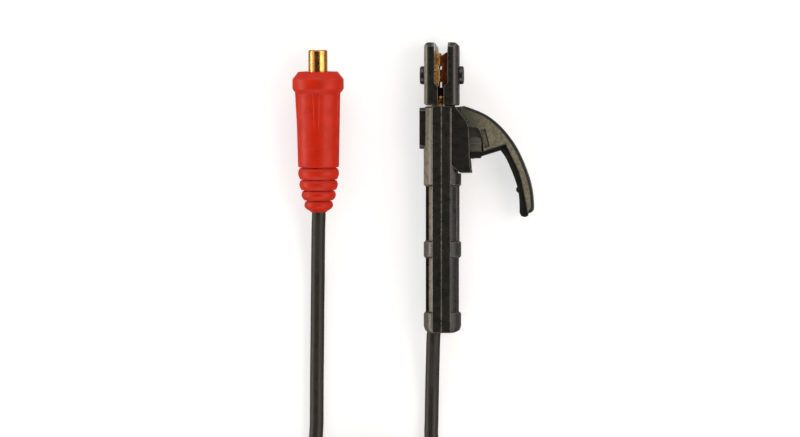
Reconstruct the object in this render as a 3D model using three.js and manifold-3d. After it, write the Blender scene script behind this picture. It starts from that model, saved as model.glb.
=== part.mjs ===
// A welding electrode lead: a hand-held electrode holder with a squeeze lever, a copper welding
// cable and the bayonet plug that joins the cable to a power source.
//
// Millimetres, +Z up, lying on a table at z = 0. The holder lies on the flat keel under its
// handle, with its jaws towards +Y and its lever on the +X side. The origin is the middle of
// that flat keel. Inside this file y is counted from the rear end of the handle, and the whole
// group is moved back by half the handle's length at the end.
import * as THREE from "three";
import { mergeVertices } from "three/addons/utils/BufferGeometryUtils.js";
import Module from "manifold-3d";

const wasm = await Module();
wasm.setup();

// Gap left between two pieces that touch.
const CLEARANCE = 0.3;

// Handle: one moulding round the y axis, with a keel on its front and its back.
const HANDLE_LENGTH = 154;
const BARREL_RADIUS = 12.8;
const GRIP_RADIUS = 10.2;
const HANDLE_BORE_RADIUS = 8.6;
const HEAD_BARREL_LENGTH = 54.5;
const RING_REAR = 50.8;
const RING_LENGTH = 11.9;
const REAR_COLLAR_LENGTH = 14.3;
const COLLAR_CHAMFER = 1.2;
const KEEL_HALF_WIDTH = 6.1;
const KEEL_HEIGHT = 13.3;
const KEEL_CROWN = 0.35;
const PANEL_REACH = 11.1;
const PANEL_HALF_HEIGHT = 5;
const PANEL_BEVEL = 1.8;
const LABEL_PANEL_REACH = 11.5;

// Rear mouth of the handle, which flares so that the cable can lean to one side.
const MOUTH_RADIUS = 11.2;
const MOUTH_LIP = 0.6;
const MOUTH_DEPTH = 2;
const MOUTH_TAPER = 11.5;

// Pad on the left of the head, which holds the screw that locks the handle to the brass core.
const PAD_REACH = 15.4;
const PAD_HALF_HEIGHT = 6.4;
const PAD_LENGTH = 27.9;
const PAD_SETBACK = 0.9;
const PAD_CORNER = 2;
const HANDLE_SCREW_SETBACK = 15;
const HANDLE_SCREW_HEAD_RADIUS = 3.6;
const HANDLE_SCREW_HEAD_LENGTH = 2.6;
const HANDLE_SCREW_RADIUS = 2;
const HANDLE_SCREW_LENGTH = 9;

// Two flat cheeks on the right of the head, with the slot that the lever swings in.
const CHEEK_HEIGHT = 10.8;
const SLOT_HALF_WIDTH = 7.4;
const SLOT_LENGTH = 45.5;
const SLOT_LEFT = 0.6;
// Corners of a cheek: x, and how far behind the handle's front end.
const CHEEK_CORNERS = [
  [6.8, 0.2],
  [9.2, 0.2],
  [17.4, 11.1],
  [18.55, 17.3],
  [18.96, 35.7],
  [19.85, 45.2],
  [12.3, 45.2],
  [6.8, 40],
];

// Pivot of the lever and the moving jaw.
const PIVOT_X = 6.5;
const PIVOT_SETBACK = 12.5;
const PIVOT_PIN_RADIUS = 2.5;
const HUB_RADIUS = 5.3;
const HUB_HALF_THICKNESS = 4;
const HUB_NECK_CORNER = [4.2, 3.2];
const LUG_THICKNESS = 2.8;

// Head: jaws and their insulators stand in front of the handle, a little left of its axis.
const HEAD_X = -0.37;
const PARTING_X = -0.95;
const JAW_HALF_DEPTH = 8;
const JAW_FOOT = 3.5;
const JAW_TOP = 36.4;
const JAW_TOP_RISE = 0.5;
const JAW_TOP_DROP = 2.4;
const JAW_TOP_SLOPE_WIDTH = 4.5;
// Throat between the jaws. Its upper end is sloped, so that one jaw slides out under the other.
const THROAT_TOP = 13.3;
const THROAT_DEPTH = 2.6;
const THROAT_SLOPE = 0.45;
const GROOVE_DEPTH = 0.9;
// Grooves of the jaws: where each starts and ends in front of the handle. The first opens into
// the throat.
const GROOVES = [
  [THROAT_TOP - 0.5, 16.85],
  [25, 27.6],
];

const INSULATOR_REACH = 11.72;
const INSULATOR_WALL = 2.6;
const INSULATOR_HALF_DEPTH = 12;
const INSULATOR_START = 1;
const INSULATOR_END = 43.4;
const INSULATOR_MOUTH = 4.5;
const INSULATOR_BACK_MOUTH = 3;
const INSULATOR_ROUND = 4.6;
const INSULATOR_TIP_ROUND = 3.4;
const INSULATOR_TIP_SLOPE = 2.8;
const FIXED_LIP = 2.2;
const MOVING_LIP = 1.9;

// Insulated screws that hold the insulators on the jaws.
const JAW_SCREW_CENTRE = 21.3;
const JAW_SCREW_HEAD_RADIUS = 6.2;
const JAW_SCREW_HEAD_LENGTH = 2.9;
const JAW_SCREW_RADIUS = 2.5;
const JAW_SCREW_LENGTH = 8;
const SLOT_WIDTH = 1.2;
const SLOT_DEPTH = 0.9;

// Brass core of the holder: jaw at the front, cable socket at the back.
const CORE_REAR_SETBACK = 91;
const CORE_FRONT_SETBACK = 4;
const CORE_FLAT_X = 3;
const CORE_NECK_LEFT = -6.8;
const CORE_NECK_RIGHT = 0.4;
const CORE_NECK_HALF_DEPTH = 6.4;
const CORE_NECK_BEVEL = 1.7;
const CORE_NECK_END = 6.4;
const CORE_SLOT_X = 0.9;
const SOCKET_DEPTH = 29;

// Lever: a flanged moulding, thinner along its inner edge.
const LEVER_HALF_WIDTH = 7;
const LEVER_RIB_HALF_WIDTH = 4.4;
const LEVER_LEFT = 12.8;
const LEVER_POCKET_DEPTH = 2.6;
const LEVER_WINDOW_DEPTH = 1.4;
const LEVER_TOP_SETBACK = 0.2;
const LEVER_FOOT_SETBACK = 35.3;
const LEVER_HEEL_SETBACK = 20;
const LEVER_HEEL_RELIEF = 0.8;
// Outer edge of the lever, x and distance behind the handle's front end, from root to tip.
const LEVER_OUTER = [
  [15.2, -0.2],
  [25.8, 3.8],
  [33.2, 8],
  [42.1, 16.2],
  [51, 28.6],
  [57.8, 44],
  [61.2, 56],
  [62.4, 68.1],
];
const LEVER_FLANGE_TIP = [
  [62.2, 70.4],
  [61, 71.8],
  [58.6, 73],
];
const LEVER_RIB_TIP = [
  [58.6, 73],
  [58.3, 74.7],
  [56, 75.4],
  [53.8, 74.7],
  [52.7, 72.4],
];
const LEVER_INNER = [
  [52.3, 61.2],
  [50, 51],
  [44, 36.4],
  [39.7, 29.9],
];
const LEVER_WEB_CORNER = [20.9, 35.7];
// A small round boss on the inner edge, near the tip.
const LEVER_BOSS_PLACE = [52.6, 56.6];
const LEVER_BOSS_RADIUS = 2.4;
const LEVER_BOSS_HALF_WIDTH = 1.5;
// Inner edge of the flange, from tip to root, and the two sunk places beside the cheek.
const FLANGE_INNER = [
  [57.9, 70],
  [53.3, 48],
  [48.5, 36.8],
  [43.1, 25.6],
];
const FLANGE_FOOT = [28, 30.6];
const POCKET_CORNERS = [
  [10, 13.8],
  [23.5, 14.5],
  [25.6, 16.6],
  [27.6, 22.7],
  [28.3, 29.5],
  [28, 37],
  [10, 37],
];
const WINDOW_CORNERS = [
  [26.4, 16.4],
  [29.2, 15.6],
  [32.3, 27.2],
  [29.1, 28.4],
];

// Tail of the moving jaw inside the lever, and the pin through both.
const TAIL_END = 24;
const TAIL_HALF_HEIGHT = 5.5;
const TAIL_HALF_THICKNESS = 3;
const LEVER_PIN_X = 16;
const LEVER_PIN_SETBACK = 11;
const LEVER_PIN_RADIUS = 1.5;

// Compression spring between the core and the lever, along x.
const SPRING_SETBACK = 25.5;
const SPRING_RADIUS = 4;
const SPRING_WIRE_RADIUS = 0.65;
const SPRING_CURLS = 7;
const SPRING_SEAT_DEPTH = 1;
const SPRING_BARREL_RADIUS = 6.8;
const SPRING_BARREL_END = 27;
const SPRING_POCKET_END = 20;

// Cable and the crimped end that both the holder and the plug clamp.
const CABLE_DIAMETER = 9.5;
const CONDUCTOR_RADIUS = 2.6;
const FERRULE_WALL = 0.7;
const FERRULE_INSET = 1.5;
const CONDUCTOR_LENGTH = 26;
const CLAMP_SCREW_RADIUS = 2.5;
const CLAMP_SCREW_INSET = 8;
const CLAMP_SCREW_SPACING = 11;
const HEX_KEY_RADIUS = 1.4;
const HEX_KEY_DEPTH = 1.8;
const SCREW_SINK = 0.4;

// Plug, along its own axis from the tail of its sleeve.
const PLUG_X = -84.7;
const PLUG_TAIL_Y = 82.2;
const SLEEVE_LENGTH = 95.8;
const PLUG_COLLAR_RADIUS = 17.5;
const PLUG_COLLAR_REAR = 84.6;
const PLUG_COLLAR_FRONT = 90.2;
const PLUG_COLLAR_RISE = 3.8;
const PLUG_FACE_RADIUS = 13.6;
const SLEEVE_BODY_REAR = 33;
const SLEEVE_BODY_REAR_RADIUS = 13.9;
const SLEEVE_BODY_FRONT_RADIUS = 14.8;
const SLEEVE_TAIL_WALL = 0.8;
// Ribs of the strain relief. Each one is smaller than the one in front of it.
const RELIEF_RIBS = 4;
const FIRST_RIB_RADIUS = 13.98;
const FIRST_RIB_PLACE = 28.1;
const RELIEF_RIB_SPACING = 7.3;
const RELIEF_RIB_TAPER = 0.57;
const RELIEF_RIB_CURVE = 0.27;
// Section of one rib: how far below its crest, and how far in front of it.
const RELIEF_RIB_SECTION = [
  [1.1, -3.2],
  [0.35, -1.4],
  [0, 0],
  [0.2, 1.2],
  [1.2, 2.7],
];
const SLEEVE_BORE_RADIUS = 10.8;
const SLEEVE_WAIST_RADIUS = 9.3;
const SLEEVE_STEP = 60;
const SLEEVE_TAIL_BORE_LENGTH = 33;
const GRIP_RIBS = 5;
const GRIP_RIB_WIDTH = 5.4;
const GRIP_RIB_TOP_WIDTH = 3.6;
const GRIP_RIB_HEIGHT = 0.9;
const GRIP_RIB_END = 54;
const PIN_RADIUS = 6.5;
const PIN_LENGTH = 14.7;
const PIN_CHAMFER = 0.5;
const PIN_FLANGE_INSET = 2.3;
const KEY_HALF_WIDTH = 2.2;
const KEY_HEIGHT = 1.8;
const KEY_LENGTH = 6.5;
const KEY_INSET = 2.5;
const PLUG_SOCKET_DEPTH = 26;
const PLUG_JACKET_INSET = 8;

// Coil of the cable that is put away: the middle of it, its inner radius and its turns.
const COIL_X = -47.6;
const COIL_Y = -160;
const COIL_INNER_RADIUS = 36;
const COIL_PITCH = 10.1;
const COIL_TURNS = 7.5;

const BLACK_MOULDING = { color: 0x23241f, roughness: 0.45, metalness: 0 };
const BRASS = { color: 0xb98b45, roughness: 0.4, metalness: 1 };
const BRONZE = { color: 0x8a5535, roughness: 0.55, metalness: 1 };
const STEEL = { color: 0x8e8f90, roughness: 0.35, metalness: 1 };
const COPPER = { color: 0xb06a45, roughness: 0.4, metalness: 1 };
const CABLE_RUBBER = { color: 0x2b2b28, roughness: 0.6, metalness: 0 };
const RED_RUBBER = { color: 0xd0301c, roughness: 0.5, metalness: 0 };

// Values that follow from the sizes above.
const FRONT = HANDLE_LENGTH;
const AXIS_HEIGHT = KEEL_HEIGHT;
const CABLE_RADIUS = CABLE_DIAMETER / 2;
const PIVOT_Y = FRONT - PIVOT_SETBACK;
const LEVER_PIN_Y = FRONT - LEVER_PIN_SETBACK;
const SPRING_Y = FRONT - SPRING_SETBACK;
const CORE_REAR = FRONT - CORE_REAR_SETBACK;
const CORE_RADIUS = HANDLE_BORE_RADIUS - CLEARANCE;
const JAW_REACH = INSULATOR_REACH - INSULATOR_WALL - CLEARANCE;
const LUG_INNER = HUB_HALF_THICKNESS + CLEARANCE;
const SCREW_HOLE_RADIUS = CLAMP_SCREW_RADIUS + CLEARANCE;
const FERRULE_INNER = CONDUCTOR_RADIUS + CLEARANCE;
const FERRULE_RADIUS = FERRULE_INNER + FERRULE_WALL;
const SOCKET_RADIUS = FERRULE_RADIUS + CLEARANCE;
const JACKET_END = CORE_REAR - 1;
const PLUG_TILT = Math.atan2(PLUG_COLLAR_RADIUS - FIRST_RIB_RADIUS, PLUG_COLLAR_REAR - FIRST_RIB_PLACE);
const PLUG_TAIL_HEIGHT =
  FIRST_RIB_RADIUS * Math.cos(PLUG_TILT) - FIRST_RIB_PLACE * Math.sin(PLUG_TILT);
const CONTACT_RADIUS = SLEEVE_BORE_RADIUS - CLEARANCE;
const CONTACT_WAIST_RADIUS = SLEEVE_WAIST_RADIUS - CLEARANCE;
const CONTACT_REAR = SLEEVE_TAIL_BORE_LENGTH + 3;
const PLUG_JACKET_END = CONTACT_REAR - 2;
const COIL_OUTER_RADIUS = COIL_INNER_RADIUS + (COIL_PITCH * COIL_TURNS) / 2;
const COIL_RIGHT = COIL_X + COIL_OUTER_RADIUS;
const COIL_LEFT = COIL_X - COIL_OUTER_RADIUS;

// Turning a three.js geometry into a solid, and back.
function solid(geometry) {
  const bare = geometry.clone();
  bare.deleteAttribute("normal");
  bare.deleteAttribute("uv");
  const merged = mergeVertices(bare, 1e-4);
  const index = merged.index.array;
  const triangles = [];
  for (let i = 0; i < index.length; i += 3) {
    const [a, b, c] = index.slice(i, i + 3);
    if (a !== b && b !== c && c !== a) triangles.push(a, b, c);
  }
  const made = new wasm.Manifold(
    new wasm.Mesh({
      numProp: 3,
      vertProperties: new Float32Array(merged.attributes.position.array),
      triVerts: new Uint32Array(triangles),
    }),
  );
  if (made.volume() > 0) return made;
  return solid(flipped(merged));
}

function flipped(geometry) {
  const turned = geometry.clone();
  turned.setIndex([...geometry.index.array].reverse());
  return turned;
}

function geometryOf(manifold) {
  const mesh = manifold.getMesh();
  const geometry = new THREE.BufferGeometry();
  geometry.setAttribute("position", new THREE.BufferAttribute(mesh.vertProperties, 3));
  geometry.setIndex(new THREE.BufferAttribute(mesh.triVerts, 1));
  geometry.computeVertexNormals();
  return geometry;
}

function join(first, ...others) {
  return others.reduce((sum, other) => sum.add(other), first);
}

function cut(body, ...tools) {
  return tools.reduce((rest, tool) => rest.subtract(tool), body);
}

// Simple solids. A span is the [low, high] of one axis.
function block(spanX, spanY, spanZ) {
  const geometry = new THREE.BoxGeometry(
    spanX[1] - spanX[0],
    spanY[1] - spanY[0],
    spanZ[1] - spanZ[0],
  );
  geometry.translate(
    (spanX[0] + spanX[1]) / 2,
    (spanY[0] + spanY[1]) / 2,
    (spanZ[0] + spanZ[1]) / 2,
  );
  return solid(geometry);
}

function rodX(radius, span, y, z, sides = 32) {
  const geometry = new THREE.CylinderGeometry(radius, radius, span[1] - span[0], sides);
  geometry.rotateZ(-Math.PI / 2);
  geometry.translate((span[0] + span[1]) / 2, y, z);
  return solid(geometry);
}

function rodY(radius, span, sides = 48) {
  const geometry = new THREE.CylinderGeometry(radius, radius, span[1] - span[0], sides);
  geometry.translate(0, (span[0] + span[1]) / 2, 0);
  return solid(geometry);
}

function rodZ(radius, span, x, y, sides = 32) {
  const geometry = new THREE.CylinderGeometry(radius, radius, span[1] - span[0], sides);
  geometry.rotateX(Math.PI / 2);
  geometry.translate(x, y, (span[0] + span[1]) / 2);
  return solid(geometry);
}

// A profile of [radius, y] pairs turned about the y axis.
function turned(profile, sides = 48) {
  const points = profile.map(([radius, y]) => new THREE.Vector2(radius, y));
  return solid(new THREE.LatheGeometry(points, sides));
}

function outline(corners) {
  return new THREE.Shape(corners.map(([x, y]) => new THREE.Vector2(x, y)));
}

// An outline in x and y, from one height to another.
function plate(shape, spanZ, curveSegments = 3) {
  const depth = spanZ[1] - spanZ[0];
  const geometry = new THREE.ExtrudeGeometry(shape, { depth, bevelEnabled: false, curveSegments });
  geometry.translate(0, 0, spanZ[0]);
  return solid(geometry);
}

// An outline in x and z, from one y to another.
function bar(shape, spanY, curveSegments = 4) {
  const depth = spanY[1] - spanY[0];
  const geometry = new THREE.ExtrudeGeometry(shape, { depth, bevelEnabled: false, curveSegments });
  geometry.rotateX(Math.PI / 2);
  geometry.translate(0, spanY[1], 0);
  return solid(geometry);
}

// A point given by its x and its distance behind the handle's front end.
function behindFront([x, setback]) {
  return [x, FRONT - setback];
}

// Handle

function barrelRun(rear, front, radius, rearRadius = radius - COLLAR_CHAMFER) {
  return turned([
    [0, rear],
    [rearRadius, rear],
    [radius, rear + COLLAR_CHAMFER],
    [radius, front - COLLAR_CHAMFER],
    [radius - COLLAR_CHAMFER, front],
    [0, front],
  ]);
}

function keel() {
  const profile = outline([
    [-KEEL_HALF_WIDTH, -KEEL_HEIGHT],
    [KEEL_HALF_WIDTH, -KEEL_HEIGHT],
    [KEEL_HALF_WIDTH, KEEL_HEIGHT - KEEL_CROWN],
    [0, KEEL_HEIGHT],
    [-KEEL_HALF_WIDTH, KEEL_HEIGHT - KEEL_CROWN],
  ]);
  return bar(profile, [0, HANDLE_LENGTH]);
}

// A raised panel along each flank: a square one on the left and a bevelled one on the right,
// which reaches further out between the ring and the head.
function sidePanels() {
  const rear = REAR_COLLAR_LENGTH / 2;
  const front = FRONT - HEAD_BARREL_LENGTH / 2;
  const high = PANEL_HALF_HEIGHT;
  const left = block([-PANEL_REACH, 0], [rear, front], [-high, high]);
  const right = (reach, span) =>
    bar(
      outline([
        [0, -high],
        [reach - PANEL_BEVEL, -high],
        [reach, -high + PANEL_BEVEL],
        [reach, high - PANEL_BEVEL],
        [reach - PANEL_BEVEL, high],
        [0, high],
      ]),
      span,
    );
  const label = right(LABEL_PANEL_REACH, [RING_REAR + RING_LENGTH / 2, front]);
  return join(left, right(PANEL_REACH, [rear, front]), label);
}

function screwPad() {
  const high = PAD_HALF_HEIGHT;
  const rear = FRONT - PAD_SETBACK - PAD_LENGTH;
  const front = FRONT - PAD_SETBACK;
  const face = outline([
    [-high + PAD_CORNER, rear],
    [high - PAD_CORNER, rear],
    [high, rear + PAD_CORNER],
    [high, front - PAD_CORNER],
    [high - PAD_CORNER, front],
    [-high + PAD_CORNER, front],
    [-high, front - PAD_CORNER],
    [-high, rear + PAD_CORNER],
  ]);
  const depth = PAD_REACH - HANDLE_BORE_RADIUS;
  const geometry = new THREE.ExtrudeGeometry(face, { depth, bevelEnabled: false });
  geometry.rotateY(-Math.PI / 2);
  geometry.translate(-HANDLE_BORE_RADIUS, 0, 0);
  return solid(geometry);
}

function handle() {
  const cheek = outline(CHEEK_CORNERS.map(behindFront));
  const screwY = FRONT - HANDLE_SCREW_SETBACK;
  const past = 1;
  const body = join(
    rodY(GRIP_RADIUS, [1, FRONT - 1]),
    barrelRun(FRONT - HEAD_BARREL_LENGTH, FRONT, BARREL_RADIUS),
    barrelRun(RING_REAR, RING_REAR + RING_LENGTH, BARREL_RADIUS),
    turned([
      [0, 0],
      [MOUTH_RADIUS + MOUTH_LIP, 0],
      [BARREL_RADIUS - 0.4, COLLAR_CHAMFER],
      [BARREL_RADIUS, 3 * COLLAR_CHAMFER],
      [BARREL_RADIUS, REAR_COLLAR_LENGTH - COLLAR_CHAMFER],
      [BARREL_RADIUS - COLLAR_CHAMFER, REAR_COLLAR_LENGTH],
      [0, REAR_COLLAR_LENGTH],
    ]),
    keel(),
    sidePanels(),
    screwPad(),
    plate(cheek, [-CHEEK_HEIGHT, CHEEK_HEIGHT]),
  );
  const mouth = turned([
    [0, -past],
    [MOUTH_RADIUS, -past],
    [MOUTH_RADIUS, MOUTH_DEPTH],
    [HANDLE_BORE_RADIUS, MOUTH_DEPTH + MOUTH_TAPER],
    [HANDLE_BORE_RADIUS, FRONT + past],
    [0, FRONT + past],
  ]);
  const reach = CHEEK_CORNERS[5][0] + past;
  const slotWidth = [-SLOT_HALF_WIDTH, SLOT_HALF_WIDTH];
  const slot = block([SLOT_LEFT, reach], [FRONT - SLOT_LENGTH, FRONT + past], slotWidth);
  const headSeat = -PAD_REACH + HANDLE_SCREW_HEAD_LENGTH + CLEARANCE;
  return cut(
    body,
    mouth,
    slot,
    rodX(HANDLE_SCREW_HEAD_RADIUS + CLEARANCE, [-PAD_REACH - past, headSeat], screwY, 0),
    rodX(HANDLE_SCREW_RADIUS + CLEARANCE, [-PAD_REACH, 0], screwY, 0),
  );
}

// Screws

// A slotted screw along x whose head looks towards -x when side is -1, and +x when it is 1.
function slottedScrew(side, headSeat, head, shank, y) {
  const [headRadius, headLength] = head;
  const [shankRadius, shankLength] = shank;
  const round = Math.min(1, headLength / 2);
  const profile = [
    [0, -shankLength],
    [shankRadius, -shankLength],
    [shankRadius, 0],
    [headRadius, 0],
    [headRadius, headLength - round],
    [headRadius - 0.3 * round, headLength - 0.3 * round],
    [headRadius - round, headLength],
    [0, headLength],
  ];
  const driverSlot = block(
    [-headRadius, headRadius],
    [headLength - SLOT_DEPTH, headLength + 1],
    [-SLOT_WIDTH / 2, SLOT_WIDTH / 2],
  );
  const screw = cut(turned(profile, 32), driverSlot);
  const geometry = geometryOf(screw);
  geometry.rotateZ((-side * Math.PI) / 2);
  geometry.translate(headSeat, y, 0);
  return solid(geometry);
}

function handleScrew() {
  const seat = -PAD_REACH + HANDLE_SCREW_HEAD_LENGTH;
  return slottedScrew(
    -1,
    seat,
    [HANDLE_SCREW_HEAD_RADIUS, HANDLE_SCREW_HEAD_LENGTH],
    [HANDLE_SCREW_RADIUS, HANDLE_SCREW_LENGTH],
    FRONT - HANDLE_SCREW_SETBACK,
  );
}

function jawScrew(side) {
  return slottedScrew(
    side,
    HEAD_X + side * (INSULATOR_REACH + CLEARANCE),
    [JAW_SCREW_HEAD_RADIUS, JAW_SCREW_HEAD_LENGTH],
    [JAW_SCREW_RADIUS, JAW_SCREW_LENGTH],
    FRONT + JAW_SCREW_CENTRE,
  );
}

// A set screw with a hexagon socket, its point at the given radius from the y axis, along +z.
function clampScrew(y, point, top) {
  const screw = rodZ(CLAMP_SCREW_RADIUS, [point, top], 0, y, 24);
  return cut(screw, rodZ(HEX_KEY_RADIUS, [top - HEX_KEY_DEPTH, top + 1], 0, y, 6));
}

// Jaws

function jawScrewHole(side) {
  const radius = JAW_SCREW_RADIUS + CLEARANCE;
  const deep = INSULATOR_REACH - JAW_SCREW_LENGTH - CLEARANCE;
  const span = [HEAD_X + side * deep, HEAD_X + side * (INSULATOR_REACH + 1)];
  span.sort((a, b) => a - b);
  return rodX(radius, span, FRONT + JAW_SCREW_CENTRE, 0);
}

// Grooves across the gripping face, in which an electrode lies square to the holder.
function grooves(faceX, side) {
  const deep = faceX + side * GROOVE_DEPTH;
  const span = [Math.min(deep, faceX - side), Math.max(deep, faceX - side)];
  const through = [-JAW_HALF_DEPTH - 1, JAW_HALF_DEPTH + 1];
  return GROOVES.map(([start, end]) => block(span, [FRONT + start, FRONT + end], through));
}

// Upper end of the throat at a place across it, half the clearance up or down from the middle.
function throatEnd(x, side) {
  return FRONT + THROAT_TOP + THROAT_SLOPE * (x - PARTING_X) + side * 0.6 * CLEARANCE;
}

function fixedJaw() {
  const face = PARTING_X - CLEARANCE / 2;
  const left = HEAD_X - JAW_REACH;
  const deep = [-JAW_HALF_DEPTH, JAW_HALF_DEPTH];
  const past = 1;
  const jaw = plate(
    outline([
      [left, FRONT + JAW_FOOT],
      [face - THROAT_DEPTH, FRONT + JAW_FOOT],
      [face - THROAT_DEPTH, throatEnd(face - THROAT_DEPTH, 1)],
      [face, throatEnd(face, 1)],
      [face, FRONT + JAW_TOP],
      [left, FRONT + JAW_TOP],
    ]),
    deep,
  );
  const bevel = CORE_NECK_BEVEL;
  const neck = bar(
    outline([
      [CORE_NECK_LEFT, -CORE_NECK_HALF_DEPTH + bevel],
      [CORE_NECK_LEFT + bevel, -CORE_NECK_HALF_DEPTH],
      [CORE_NECK_RIGHT, -CORE_NECK_HALF_DEPTH],
      [CORE_NECK_RIGHT, CORE_NECK_HALF_DEPTH],
      [CORE_NECK_LEFT + bevel, CORE_NECK_HALF_DEPTH],
      [CORE_NECK_LEFT, CORE_NECK_HALF_DEPTH - bevel],
    ]),
    [FRONT - 2 * CORE_FRONT_SETBACK, FRONT + CORE_NECK_END],
  );
  const round = rodY(CORE_RADIUS, [CORE_REAR, FRONT - CORE_FRONT_SETBACK]);
  const front = [FRONT - SLOT_LENGTH - CLEARANCE, FRONT + past];
  const flat = block([CORE_FLAT_X, BARREL_RADIUS], front, [-BARREL_RADIUS, BARREL_RADIUS]);
  const lug = outline([
    [0, PIVOT_Y - TAIL_HALF_HEIGHT],
    [PIVOT_X, PIVOT_Y - TAIL_HALF_HEIGHT],
    [PIVOT_X + TAIL_HALF_HEIGHT * 0.7, PIVOT_Y - TAIL_HALF_HEIGHT * 0.7],
    [PIVOT_X + TAIL_HALF_HEIGHT, PIVOT_Y],
    [PIVOT_X + TAIL_HALF_HEIGHT * 0.7, PIVOT_Y + TAIL_HALF_HEIGHT * 0.7],
    [PIVOT_X, PIVOT_Y + TAIL_HALF_HEIGHT],
    [0, PIVOT_Y + TAIL_HALF_HEIGHT],
  ]);
  const lugs = plate(lug, [-LUG_INNER - LUG_THICKNESS, LUG_INNER + LUG_THICKNESS]);
  const jawSlot = block(
    [CORE_SLOT_X, BARREL_RADIUS],
    [PIVOT_Y - TAIL_HALF_HEIGHT - 2, FRONT + past],
    [-LUG_INNER, LUG_INNER],
  );
  const socket = rodY(SOCKET_RADIUS, [CORE_REAR - past, CORE_REAR + SOCKET_DEPTH], 32);
  const clampHoles = [0, 1].map((i) =>
    rodZ(SCREW_HOLE_RADIUS, [0, BARREL_RADIUS], 0, clampScrewY(i), 24),
  );
  const springSeat = rodX(
    SPRING_RADIUS + SPRING_WIRE_RADIUS + CLEARANCE,
    [CORE_FLAT_X - SPRING_SEAT_DEPTH, BARREL_RADIUS],
    SPRING_Y,
    0,
  );
  const screwTip = -PAD_REACH + HANDLE_SCREW_HEAD_LENGTH + HANDLE_SCREW_LENGTH + CLEARANCE;
  return cut(
    join(cut(round, flat), lugs, neck, jaw),
    jawSlot,
    rodZ(PIVOT_PIN_RADIUS + CLEARANCE, [-BARREL_RADIUS, BARREL_RADIUS], PIVOT_X, PIVOT_Y),
    socket,
    ...clampHoles,
    springSeat,
    rodX(
      HANDLE_SCREW_RADIUS + CLEARANCE,
      [-BARREL_RADIUS, screwTip],
      FRONT - HANDLE_SCREW_SETBACK,
      0,
    ),
    ...grooves(face, -1),
    jawScrewHole(-1),
  );
}

function clampScrewY(i) {
  return CORE_REAR + CLAMP_SCREW_INSET + i * CLAMP_SCREW_SPACING;
}

function movingJaw() {
  const face = PARTING_X + CLEARANCE / 2;
  const right = HEAD_X + JAW_REACH;
  const thin = [-HUB_HALF_THICKNESS, HUB_HALF_THICKNESS];
  const foot = FRONT + JAW_FOOT;
  const neckLeft = CORE_NECK_RIGHT + 3 * CLEARANCE;
  const jaw = plate(
    outline([
      [face + THROAT_DEPTH, foot],
      [right, foot],
      [right, FRONT + JAW_TOP + JAW_TOP_RISE],
      [face + JAW_TOP_SLOPE_WIDTH, FRONT + JAW_TOP + JAW_TOP_RISE],
      [face, FRONT + JAW_TOP - JAW_TOP_DROP],
      [face, FRONT + THROAT_TOP],
      [face + THROAT_DEPTH, FRONT + THROAT_TOP],
    ]),
    [-JAW_HALF_DEPTH, JAW_HALF_DEPTH],
  );
  // A thinner rib that closes the throat between the jaws, in front of the other jaw's neck.
  const ribLeft = face - THROAT_DEPTH + CLEARANCE;
  const ribFoot = FRONT + CORE_NECK_END + 2 * CLEARANCE;
  const rib = plate(
    outline([
      [ribLeft, ribFoot],
      [right - 1, ribFoot],
      [right - 1, FRONT + THROAT_TOP + 1],
      [face, FRONT + THROAT_TOP + 1],
      [face, throatEnd(face, -1)],
      [ribLeft, throatEnd(ribLeft, -1)],
    ]),
    thin,
  );
  const neck = plate(
    outline([
      [neckLeft, PIVOT_Y],
      [PIVOT_X, PIVOT_Y - 1],
      [PIVOT_X + HUB_NECK_CORNER[0], PIVOT_Y + HUB_NECK_CORNER[1]],
      [right, foot - 4],
      [right, foot + 1],
      [neckLeft, foot + 1],
    ]),
    thin,
  );
  const tail = block(
    [PIVOT_X, TAIL_END],
    [PIVOT_Y - TAIL_HALF_HEIGHT + CLEARANCE, PIVOT_Y + TAIL_HALF_HEIGHT - CLEARANCE],
    [-TAIL_HALF_THICKNESS, TAIL_HALF_THICKNESS],
  );
  const hub = rodZ(HUB_RADIUS, thin, PIVOT_X, PIVOT_Y, 40);
  return cut(
    join(jaw, rib, neck, tail, hub),
    rodZ(PIVOT_PIN_RADIUS + CLEARANCE, [-BARREL_RADIUS, BARREL_RADIUS], PIVOT_X, PIVOT_Y),
    leverPinHole(),
    ...grooves(face, 1),
    jawScrewHole(1),
  );
}

function pivotPin() {
  const half = LUG_INNER + LUG_THICKNESS;
  return rodZ(PIVOT_PIN_RADIUS, [-half, half], PIVOT_X, PIVOT_Y);
}

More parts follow.
